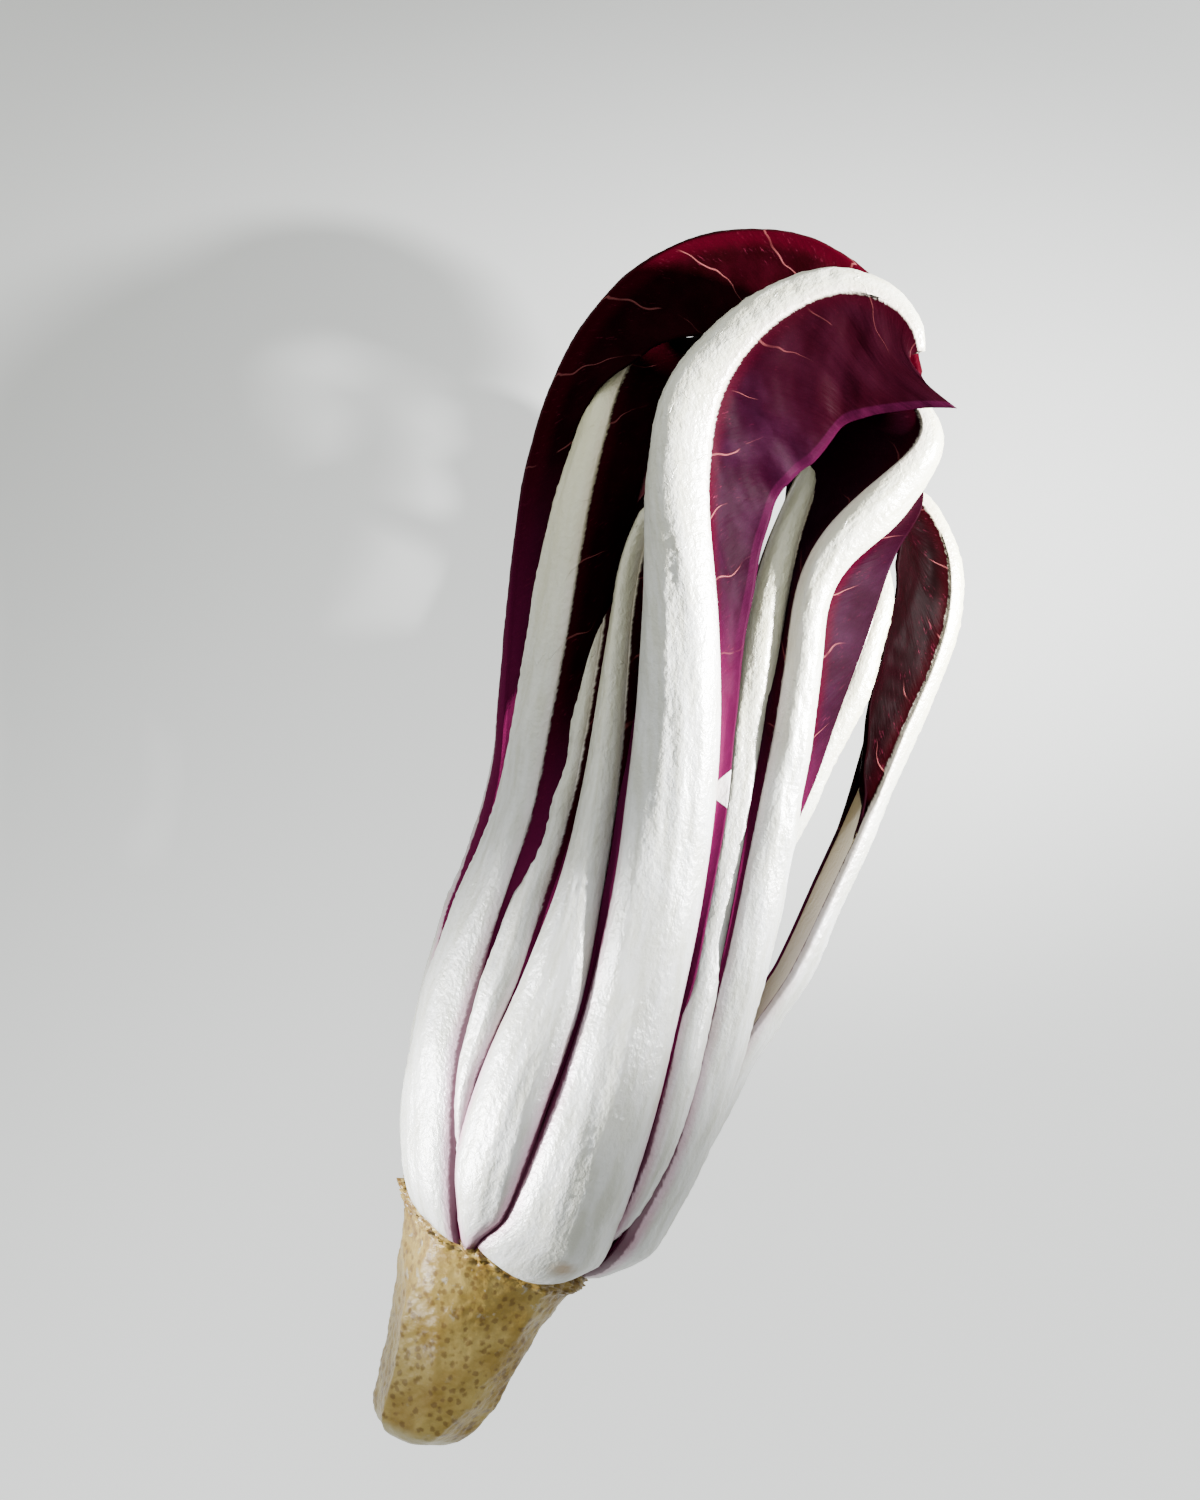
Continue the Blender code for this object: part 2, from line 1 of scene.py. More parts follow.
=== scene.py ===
"""Looks of a head of late red Treviso radicchio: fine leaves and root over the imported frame, and a stage.

Every leaf is one closed surface swept along its line: the thick white rib with a red blade out of each edge.
Places are in millimetres in the head's own frame, with its origin on the crown line. The frame's root stump
says where that is. Along the head is +Y, up is +Z, and +X is to the right as seen from above.
"""

import math

import bpy
import numpy as np
from mathutils import Matrix, Vector


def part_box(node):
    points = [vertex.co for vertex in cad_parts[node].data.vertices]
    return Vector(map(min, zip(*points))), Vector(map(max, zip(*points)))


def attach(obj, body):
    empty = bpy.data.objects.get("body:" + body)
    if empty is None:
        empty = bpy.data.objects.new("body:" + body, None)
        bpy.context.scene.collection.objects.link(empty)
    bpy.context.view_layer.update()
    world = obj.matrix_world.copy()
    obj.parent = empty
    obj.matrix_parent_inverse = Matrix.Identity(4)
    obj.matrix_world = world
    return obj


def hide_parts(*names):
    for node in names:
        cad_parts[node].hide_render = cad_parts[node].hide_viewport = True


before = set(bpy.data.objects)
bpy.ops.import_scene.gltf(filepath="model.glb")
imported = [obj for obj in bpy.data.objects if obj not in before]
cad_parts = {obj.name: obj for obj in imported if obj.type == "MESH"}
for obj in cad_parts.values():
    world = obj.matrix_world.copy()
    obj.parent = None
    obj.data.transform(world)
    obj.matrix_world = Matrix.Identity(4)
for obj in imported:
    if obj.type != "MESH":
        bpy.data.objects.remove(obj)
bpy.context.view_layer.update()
MM = 0.001

# The root stump's middle across and its cut end, in the head's own frame.
STUMP_MIDDLE_X = -1.4
STUMP_CUT_Y = -40.0
LOW, HIGH = (np.array(corner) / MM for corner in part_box("root_stump"))
SHIFT = np.array([(LOW[0] + HIGH[0]) / 2 - STUMP_MIDDLE_X, LOW[1] - STUMP_CUT_Y, 0.0])

STEM_HEIGHT = 27.5
# The crown is slanted. It lies nearer the root by CROWN_SLANT for each millimetre to the right and by
# CROWN_TILT for each one up, and further off by LEFT_SLANT for each one beyond LEFT_FROM to the left.
CROWN_SLANT = 0.17
CROWN_TILT = 0.08
LEFT_SLANT = 0.2
LEFT_FROM = 8.0
# The slant fades out between these distances up the head, and over this length down the root.
SLANT_FADE = (0.0, 70.0)
ROOT_FADE = 20.0

# The whorls near the stem: distance along the head, centre across and up, radius across and up.
OUTER_WHORL = [
    (-0.4, -0.4, 28, 16.6, 16), (1.8, 0.2, 27.8, 19.2, 18), (5, 0.9, 27.6, 21.2, 19.6),
    (12, 2, 27.2, 23.8, 22), (26, 3, 26.6, 26.8, 23.8), (44, 4.4, 26, 28.8, 23.8),
]
MIDDLE_WHORL = [
    (-0.4, -0.4, 28, 13, 13), (1.8, 0.2, 27.8, 14.4, 14.2), (5, 0.9, 27.6, 16.6, 16),
    (12, 2, 27.2, 21.2, 19.6), (26, 3, 26.6, 26.2, 23.2), (44, 4.4, 26, 28.4, 23.4),
]
INNER_WHORL = [
    (4.6, 1, 27.8, 10.9, 10.9), (12, 2.4, 27.8, 17.2, 15.4), (26, 3.8, 27.4, 20.2, 17.4),
    (44, 5.2, 27, 22.2, 17.4),
]
HEART_WHORL = [
    (10, 1.8, 27.6, 6.6, 6.6), (24, 3.4, 27.2, 9.8, 9), (42, 4.6, 27, 10.8, 9.8),
]

# Up to this share of its length a leaf faces straight out of its whorl.
HELD_SHARE = 0.28
# Near the crown a leaf's sections lie flat across the head. Between these distances they turn to its line.
FLAT_SECTIONS = (3.0, 14.0)
# A leaf's line has this many samples to a span, and is then read at rows this far apart.
LINE_STEPS = 12
ROW_SPACING = 0.95
# Cells across the rib and across each wing, on outer leaves and on inner ones.
OUTER_CELLS = (34, 22)
INNER_CELLS = (20, 12)
# The rib's back is a superellipse of this power, drawn between these angles.
RIB_POWER = 2.05
RIB_ANGLES = (172.0, 8.0)
# A wing grows out of the rib's edge, so thick and so far in at most, and thins to the blade's thickness.
EDGE_THICKNESS = 1.3
EDGE_INSET = 1.6
WING_ROOT_THICKNESS = 1.1
BLADE_THICKNESS = 0.5
THINNING_LENGTH = 1.2
# Up to this distance from the crown the ribs' lower ends are rounded.
ROUNDED_END = 7.0
# The distance to the margin that is written where there is no blade.
NO_MARGIN = 99.0


def crown_slant(points):
    """Points of the head moved along it, so that the crown is slanted as it was cut and grown."""
    x, y, z = points[..., 0], points[..., 1], points[..., 2]
    low, high = SLANT_FADE
    share = np.clip(1 - (y - low) / (high - low), 0.0, 1.0) * np.clip(1 + y / ROOT_FADE, 0.0, 1.0)
    slope = CROWN_SLANT * x - LEFT_SLANT * np.maximum(0.0, -LEFT_FROM - x) + CROWN_TILT * (z - STEM_HEIGHT)
    moved = points.copy()
    moved[..., 1] = y - slope * share
    return moved


def stem_points(whorl, stem):
    """Points of one rib's line in its whorl, as (x, y, z, facing, width, thickness, bend)."""
    rows = np.array(whorl)
    radius = (rows[:, 3] + rows[:, 4]) / 2
    lean = fade(rows[:, 0], *FLAT_SECTIONS)
    bend = np.cos(np.arctan(np.gradient(radius, rows[:, 0])) * lean) / radius
    points = []
    for (y, cx, cz, rx, rz), (angle, width, thick), curve in zip(whorl, stem, bend):
        turn = math.radians(angle)
        x, z = cx + rx * math.sin(turn), cz + rz * math.cos(turn)
        points.append((x, y, z, angle, width, thick, curve))
    return points


def smooth_line(points, steps):
    """A centripetal Catmull-Rom curve through points, with steps samples to each span."""
    ends = np.vstack([2 * points[0] - points[1], points, 2 * points[-1] - points[-2]])
    out = []
    for i in range(len(points) - 1):
        quad = ends[i : i + 4]
        gaps = np.sqrt(np.linalg.norm(np.diff(quad[:, :3], axis=0), axis=1))
        knots = np.concatenate([[0.0], np.cumsum(gaps)])
        for k in range(steps):
            t = knots[1] + (knots[2] - knots[1]) * k / steps
            level = quad
            for depth in (1, 2, 3):
                spans = (knots[depth:] - knots[:-depth])[: len(level) - 1]
                nearer = (knots[depth:] - t)[: len(level) - 1] / spans
                level = nearer[:, None] * level[:-1] + (1 - nearer)[:, None] * level[1:]
            out.append(level[0])
    out.append(points[-1])
    return np.array(out)


def even_rows(line, spacing):
    """The line's rows again, spaced evenly along it, with each row's distance from the start."""
    lengths = np.concatenate([[0.0], np.cumsum(np.linalg.norm(np.diff(line[:, :3], axis=0), axis=1))])
    count = max(8, round(lengths[-1] / spacing))
    along = np.linspace(0.0, lengths[-1], count + 1)
    rows = np.stack([np.interp(along, lengths, column) for column in line.T], axis=1)
    return rows, along


def turned(vector, axis, angle):
    """vector turned about a unit axis."""
    c, s = math.cos(angle), math.sin(angle)
    return vector * c + np.cross(axis, vector) * s + axis * (axis @ vector) * (1 - c)


def frames_along(line, facing, held):
    """Arrays (outward, right). outward is set by its facing up to row held, and carried along from there."""
    along = np.gradient(line, axis=0)
    along /= np.linalg.norm(along, axis=1)[:, None]
    outward, right = np.zeros_like(line), np.zeros_like(line)
    for i, t in enumerate(along):
        if i <= held:
            angle = math.radians(facing[i])
            carried = np.array([math.sin(angle), 0.0, math.cos(angle)])
        else:
            axis = np.cross(along[i - 1], t)
            size = np.linalg.norm(axis)
            if size > 1e-9:
                carried = turned(carried, axis / size, math.asin(min(1.0, size)))
        lean = float(fade(line[i, 1], *FLAT_SECTIONS))
        ahead = t * lean + np.array([0.0, 1.0, 0.0]) * (1 - lean)
        ahead /= np.linalg.norm(ahead)
        carried = carried - ahead * (carried @ ahead)
        carried = carried / np.linalg.norm(carried)
        outward[i] = turned(carried, ahead, math.radians(facing[i] - facing[max(0, min(i, held))]))
        right[i] = np.cross(ahead, outward[i])
    return outward, right


def waves(rng, length, count, *coordinates):
    """A smooth random field of about unit size over the coordinates, with features about length across."""
    field = 0.0
    for _ in range(count):
        way = rng.normal(size=len(coordinates))
        way *= 2 * math.pi / length * rng.uniform(0.7, 1.4) / np.linalg.norm(way)
        phase = rng.uniform(0, 2 * math.pi)
        field = field + np.sin(sum(w * c for w, c in zip(way, coordinates)) + phase)
    return field * math.sqrt(2 / count)


def fade(value, low, high):
    """0 below low and 1 above high, smooth between."""
    t = np.clip((value - low) / (high - low), 0.0, 1.0)
    return t * t * (3 - 2 * t)


def softened(series, rows=4):
    """The series with its corners rounded over a few rows."""
    steps = np.arange(-3 * rows, 3 * rows + 1)
    weights = np.exp(-((steps / rows) ** 2) / 2)
    padded = np.concatenate([
        2 * series[0] - series[3 * rows : 0 : -1], series, 2 * series[-1] - series[-2 : -3 * rows - 2 : -1]
    ])
    return np.convolve(padded, weights / weights.sum(), "valid")


class Leaf:
    """One leaf's line, widths and wings, sampled in even rows.

    stem holds (facing, width, thickness) at the whorl's rings, and free holds (x, y, z, facing, width,
    thickness) beyond them. A wing has rows of (share, fold, curl, reach), and maybe a margin to be drawn to.
    In look, bulge and corners round the rib's lower end, ruffle waves the blade and wrinkles crumple the rib.
    """

    def __init__(self, name, whorl, stem, free, left, right, cells, seed, **look):
        path = np.array(stem_points(whorl, stem) + [(*point, 0.0) for point in free], float)
        rows, self.along = even_rows(smooth_line(path, LINE_STEPS), ROW_SPACING)
        self.name = name
        self.at = rows[:, :3]
        self.facing, self.width, self.thick, self.bend = rows[:, 3], rows[:, 4], rows[:, 5], rows[:, 6]
        self.share = self.along / self.along[-1]
        held = int(np.searchsorted(self.along, self.along[-1] * HELD_SHARE))
        self.outward, self.right = frames_along(self.at, self.facing, held)
        self.wings = (left, right)
        self.rib_cells, self.wing_cells = cells
        self.seed = seed
        self.rng = np.random.default_rng(seed)
        self.look = look

    def place(self, across, out):
        """Points of the sections in space, bent round the whorl. across and out are rows by columns."""
        out = out - (self.thick / 2)[:, None]
        bend = np.maximum(self.bend, 1e-6)[:, None]
        turn = across * bend
        across, out = (1 / bend + out) * np.sin(turn), (1 / bend + out) * np.cos(turn) - 1 / bend
        sideways = self.right[:, None] * across[..., None]
        return self.at[:, None] + sideways + self.outward[:, None] * out[..., None]

    def wing_row(self, rows):
        """Columns of a wing's table read at every row."""
        shares, *columns = zip(*rows)
        return [np.interp(self.share, shares, column) for column in columns]

    def root_of_wing(self, side):
        """Where a wing grows out of the rib's edge, as (across, out), with the edge's thickness there."""
        half = self.width / 2
        edge = np.minimum(EDGE_THICKNESS, 0.45 * self.thick)
        inset = np.minimum(EDGE_INSET, 0.2 * half)
        return side * (half - inset), edge / 2, edge

    def wing_sheet(self, side):
        """The middle surface of one wing, rows by columns from the rib's edge to the margin."""
        spec = self.wings[0 if side < 0 else 1]
        fold, curl, reach = self.wing_row(spec["rows"])
        across, out, _ = self.root_of_wing(side)
        steps = np.linspace(0.0, 1.0, self.wing_cells + 1)
        middle = (steps[1:] + steps[:-1]) / 2
        turn = np.radians(fold[:, None] + curl[:, None] * middle)
        step = reach[:, None] / self.wing_cells
        zero = np.zeros((len(fold), 1))
        xs = across[:, None] + side * np.concatenate([zero, np.cumsum(np.cos(turn) * step, axis=1)], axis=1)
        ns = out[:, None] - np.concatenate([zero, np.cumsum(np.sin(turn) * step, axis=1)], axis=1)
        sheet = self.place(xs, ns)
        margin = spec.get("margin")
        if margin:
            sheet = self.drawn_to(sheet, margin, fold, side, steps)
        return sheet

    def drawn_to(self, sheet, margin, fold, side, steps):
        """The sheet bent so that its edge runs along the margin's (share, x, y, z, pull)."""
        shares, *columns = zip(*margin)
        x, y, z, pull = [softened(np.interp(self.share, shares, column)) for column in columns]
        edge = np.stack([x, y, z], axis=1)
        turn = np.radians(fold)
        way = self.right * (side * np.cos(turn))[:, None] - self.outward * np.sin(turn)[:, None]
        root = sheet[:, 0]
        span = np.linalg.norm(edge - root, axis=1)
        knee = root + way * (0.5 * span)[:, None]
        s = steps[None, :, None]
        bent = root[:, None] * (1 - s) ** 2 + knee[:, None] * 2 * s * (1 - s) + edge[:, None] * s**2
        return sheet + (bent - sheet) * pull[:, None, None]

    def wing(self, side):
        """One wing's outer and inner surfaces and each column's distance from the rib's edge."""
        sheet = self.wing_sheet(side)
        normal = np.cross(np.gradient(sheet, axis=0), np.gradient(sheet, axis=1))
        normal /= np.maximum(np.linalg.norm(normal, axis=2), 1e-9)[..., None]
        if side > 0:
            normal = -normal
        steps = np.linalg.norm(np.diff(sheet, axis=1), axis=2)
        far = np.concatenate([np.zeros((len(sheet), 1)), np.cumsum(steps, axis=1)], axis=1)
        _, _, edge = self.root_of_wing(side)
        root_thick = np.minimum(edge, WING_ROOT_THICKNESS)[:, None]
        thick = BLADE_THICKNESS + (root_thick - BLADE_THICKNESS) * np.exp(-far / THINNING_LENGTH)
        u = self.along[:, None] + 0 * far
        free = fade(far, 0.6, 4.0) * fade(far[:, -1:], 2.0, 7.0)
        ruffle = self.look.get("ruffle", 0.2)
        lift = free * ruffle * (waves(self.rng, 14.0, 14, u, far) + 0.2 * waves(self.rng, 4.0, 20, u, far))
        shape = sheet + normal * lift[..., None]
        skin = normal * (thick / 2)[..., None]
        return shape + skin, shape - skin, far

    def rib_back(self):
        """The rib's fleshy back, as (across, out, place round it from -1 to 1)."""
        angles = np.radians(np.linspace(*RIB_ANGLES, self.rib_cells + 1))[None, :]
        c, s = np.cos(angles), np.sin(angles)
        half = (self.width / 2)[:, None]
        across = half * np.sign(c) * np.abs(c) ** (2 / RIB_POWER)
        out = self.thick[:, None] * s ** (2 / RIB_POWER)
        return across, out, np.broadcast_to(c, across.shape)

    def rib_bumps(self, u, across, round_place):
        """The skin's relief on the rib's back, in millimetres."""
        middle = 1 - np.abs(round_place) ** 4
        pebbles = 0.05 * waves(self.rng, 2.1, 30, u, across) + 0.035 * waves(self.rng, 1.2, 30, u, across)
        ridges = 0.10 * waves(self.rng, 3.4, 12, u * 0.06, across)
        swells = 0.16 * waves(self.rng, 16.0, 10, u, across)
        relief = (pebbles + ridges + swells) * middle
        wrinkled = self.look.get("wrinkles")
        if wrinkled:
            start, end, place, width = wrinkled
            where = fade(self.share, start, start + 0.04) * (1 - fade(self.share, end - 0.04, end))
            folds = waves(self.rng, 2.6, 16, u, across * 0.25)
            across_place = np.exp(-(((round_place - place) / width) ** 2))
            relief = relief + where[:, None] * across_place * 0.26 * np.clip(folds, -1.4, 0.4)
        return relief

    def build(self, materials):
        """The leaf as one closed mesh object with its places. materials are the rib's and the blade's."""
        left_outer, left_inner, left_far = self.wing(-1)
        right_outer, right_inner, right_far = self.wing(1)
        across, out, round_place = self.rib_back()
        u = self.along[:, None] + 0 * across
        back = self.place(across, out + self.rib_bumps(u, across, round_place))
        lengths = np.linalg.norm(np.diff(back, axis=1), axis=2)
        run = np.concatenate([np.zeros((len(back), 1)), np.cumsum(lengths, axis=1)], axis=1)
        back_far = -np.minimum(run, run[:, -1:] - run)

        left_root = self.root_of_wing(-1)[0]
        t = np.linspace(0.0, 1.0, self.rib_cells + 3)[None, 1:-1]
        hollow_x = left_root[:, None] * (1 - 2 * t)
        hollow_n = 0.14 * self.thick[:, None] * (1 - (2 * t - 1) ** 2) + 0 * hollow_x
        hollow = self.place(hollow_x, hollow_n)
        hollow_far = -(np.abs(left_root)[:, None] - np.abs(hollow_x))

        outer = np.concatenate([left_outer[:, ::-1], back, right_outer], axis=1)
        inner = np.concatenate([left_inner[:, ::-1], hollow, right_inner], axis=1)
        outer_far = np.concatenate([left_far[:, ::-1], back_far, right_far], axis=1)
        inner_far = np.concatenate([left_far[:, ::-1], hollow_far, right_far], axis=1)
        rows, columns = outer_far.shape
        on_wing = np.ones(self.wing_cells + 1)
        sides = np.concatenate([-on_wing, np.cos(np.linspace(math.pi, 0, self.rib_cells + 1)), on_wing])
        corners = np.array(self.look.get("corners", (0.0, 0.0)))
        lifted = corners[0] * np.minimum(sides, 0.0) ** 2 + corners[1] * np.maximum(sides, 0.0) ** 2
        bulge = self.look.get("bulge", 0.8) * (1 - sides**2) - lifted
        outer[..., 1] -= bulge[None, :] * (1 - fade(self.along, 0.0, ROUNDED_END))[:, None]
        points = crown_slant(np.concatenate([outer.reshape(-1, 3), inner.reshape(-1, 3)]))
        points[:, 2] = np.maximum(points[:, 2], 0.0)
        faces = shell_faces(rows, columns)
        obj = mesh_object(self.name, (points + SHIFT) * MM, [faces], materials)
        sides_all = np.tile(sides, 2 * rows)
        on_blade = np.abs(sides_all)[faces].mean(axis=1) > 0.999
        obj.data.polygons.foreach_set("material_index", on_blade.astype(np.int32))
        along_all = np.tile(np.repeat(self.along, columns), 2)
        far_all = np.concatenate([outer_far.ravel(), inner_far.ravel()])
        set_places(obj, "leaf_place", np.stack([along_all, far_all, sides_all], axis=1))
        left_edge, right_edge = left_far[:, -1:] - left_far, right_far[:, -1:] - right_far
        to_edge = np.concatenate([left_edge[:, ::-1], NO_MARGIN + 0 * back_far, right_edge], axis=1).ravel()
        set_places(obj, "leaf_edge", np.tile(to_edge, 2))
        set_places(obj, "leaf_share", np.tile(np.repeat(self.share, columns), 2))
        set_places(obj, "leaf_inside", np.repeat([0.0, 1.0], rows * columns))
        return obj


def shell_faces(rows, columns):
    """Faces of a closed shell: an outer grid, an inner one, and the walls round their shared edge."""
    size = rows * columns
    grid = np.arange(size).reshape(rows, columns)
    a, b, c, d = grid[:-1, :-1], grid[:-1, 1:], grid[1:, 1:], grid[1:, :-1]
    outer = np.stack([a, b, c, d], axis=-1).reshape(-1, 4)
    inner = np.stack([a, d, c, b], axis=-1).reshape(-1, 4) + size
    rim = np.concatenate([grid[0, :], grid[1:, -1], grid[-1, -2::-1], grid[-2:0:-1, 0]])
    after = np.roll(rim, -1)
    walls = np.stack([after, rim, rim + size, after + size], axis=-1)
    return np.concatenate([outer, inner, walls])


def mesh_object(name, points, faces, materials):
    """A smooth-shaded object. faces holds an array of corners for each kind of face."""
    mesh = bpy.data.meshes.new(name)
    mesh.vertices.add(len(points))
    mesh.vertices.foreach_set("co", np.asarray(points, np.float32).ravel())
    corners = np.concatenate([part.ravel() for part in faces]).astype(np.int32)
    totals = np.concatenate([np.full(len(part), part.shape[1], np.int32) for part in faces])
    mesh.loops.add(len(corners))
    mesh.loops.foreach_set("vertex_index", corners)
    mesh.polygons.add(len(totals))
    mesh.polygons.foreach_set("loop_start", (np.cumsum(totals) - totals).astype(np.int32))
    mesh.polygons.foreach_set("loop_total", totals)
    mesh.polygons.foreach_set("use_smooth", np.ones(len(totals), bool))
    mesh.update(calc_edges=True)
    for material in materials:
        mesh.materials.append(material)
    obj = bpy.data.objects.new(name, mesh)
    bpy.context.scene.collection.objects.link(obj)
    return obj


def set_places(obj, name, values):
    """A point attribute for the materials: vectors where values has columns, otherwise single numbers."""
    kind, field = ("FLOAT_VECTOR", "vector") if values.ndim == 2 else ("FLOAT", "value")
    attribute = obj.data.attributes.new(name, kind, "POINT")
    attribute.data.foreach_set(field, values.astype(np.float32).ravel())


class Nodes:
    """Short calls for building the nodes of a new material or world."""

    def __init__(self, owner):
        owner.use_nodes = True
        self.owner = owner
        self.tree = owner.node_tree
        self.tree.nodes.clear()

    def new(self, kind):
        return self.tree.nodes.new("ShaderNode" + kind)

    def plug(self, socket, value):
        if isinstance(value, bpy.types.NodeSocket):
            self.tree.links.new(value, socket)
        elif isinstance(value, (tuple, list)) and len(value) == 3 and socket.type == "RGBA":
            socket.default_value = (*value, 1.0)
        else:
            socket.default_value = value

    def node(self, kind, settings=None, **inputs):
        made = self.new(kind)
        for key, value in (settings or {}).items():
            setattr(made, key, value)
        for key, value in inputs.items():
            self.plug(made.inputs[key.replace("_", " ")], value)
        return made

    def filled(self, made, values):
        for socket, value in zip(made.inputs, values):
            self.plug(socket, value)
        return made.outputs[0]

    def math(self, operation, *values):
        return self.filled(self.node("Math", {"operation": operation}), values)

    def times(self, a, b):
        return self.math("MULTIPLY", a, b)

    def line(self, a, b, c):
        """a times b, plus c."""
        return self.math("MULTIPLY_ADD", a, b, c)

    def attribute(self, name, output="Fac"):
        return self.node("Attribute", {"attribute_name": name}).outputs[output]

    def split(self, vector):
        return self.node("SeparateXYZ", Vector=vector).outputs

    def join(self, *values):
        return self.filled(self.new("CombineXYZ"), values)

    def length(self, vector):
        made = self.node("VectorMath", {"operation": "LENGTH"})
        self.plug(made.inputs[0], vector)
        return made.outputs["Value"]

    def noise(self, vector, scale, detail=3.0, roughness=0.5):
        made = self.node("TexNoise", Vector=vector, Scale=scale, Detail=detail, Roughness=roughness)
        return made.outputs["Fac"]

    def step(self, value, low, high):
        """0 at low, 1 at high, smooth between; high may be the lower one."""
        made = self.node("MapRange", {"interpolation_type": "SMOOTHSTEP"})
        for key, number in (("Value", value), ("From Min", low), ("From Max", high)):
            self.plug(made.inputs[key], number)
        return made.outputs[0]

    def mix(self, share, a, b):
        made = self.node("Mix", {"data_type": "RGBA"})
        self.plug(made.inputs[0], share)
        self.plug(made.inputs[6], a)
        self.plug(made.inputs[7], b)
        return made.outputs[2]

    def surface(self, **inputs):
        """The material, ended in a principled shader with these inputs."""
        shader = self.node("BsdfPrincipled", **inputs)
        self.plug(self.new("OutputMaterial").inputs[0], shader.outputs[0])
        return self.owner


# The blade's colours: its ground, a painted sheen in cloudy patches over it and the band along the rib.
DARK = dict(blade=(0.0032, 0.0001, 0.0003), painted_sheen=(0.0065, 0.0002, 0.0009), band=(0.016, 0.0002, 0.0017))
# The next colours are the dark ones darkened further: painted shade, for a leaf that lies in shade.
DARK_IN_PAINTED_SHADE = dict(blade=(0.0013, 0.0001, 0.0002), painted_sheen=(0.0024, 0.0002, 0.0005), band=(0.0055, 0.0002, 0.0006))
VIOLET = dict(blade=(0.0048, 0.0003, 0.0021), painted_sheen=(0.0075, 0.0011, 0.0043), band=(0.014, 0.0001, 0.0023))
SEAM = (0.085, 0.0045, 0.034)
FLECK = (0.10, 0.010, 0.025)
VEIN = (0.17, 0.045, 0.045)
DUSK = (0.0055, 0.0003, 0.0010)
LIP = (0.018, 0.0012, 0.0085)
# The rib's colours.
WHITE = (0.46, 0.465, 0.455)
SHADED_WHITE = (0.36, 0.36, 0.315)
CREAM = (0.47, 0.445, 0.25)
LILAC = (0.34, 0.06, 0.20)
FRECKLE = (0.36, 0.26, 0.14)
STAIN = (0.26, 0.17, 0.08)
RIB_GLOSS = 1.0
BLADE_GLOSS = 0.004


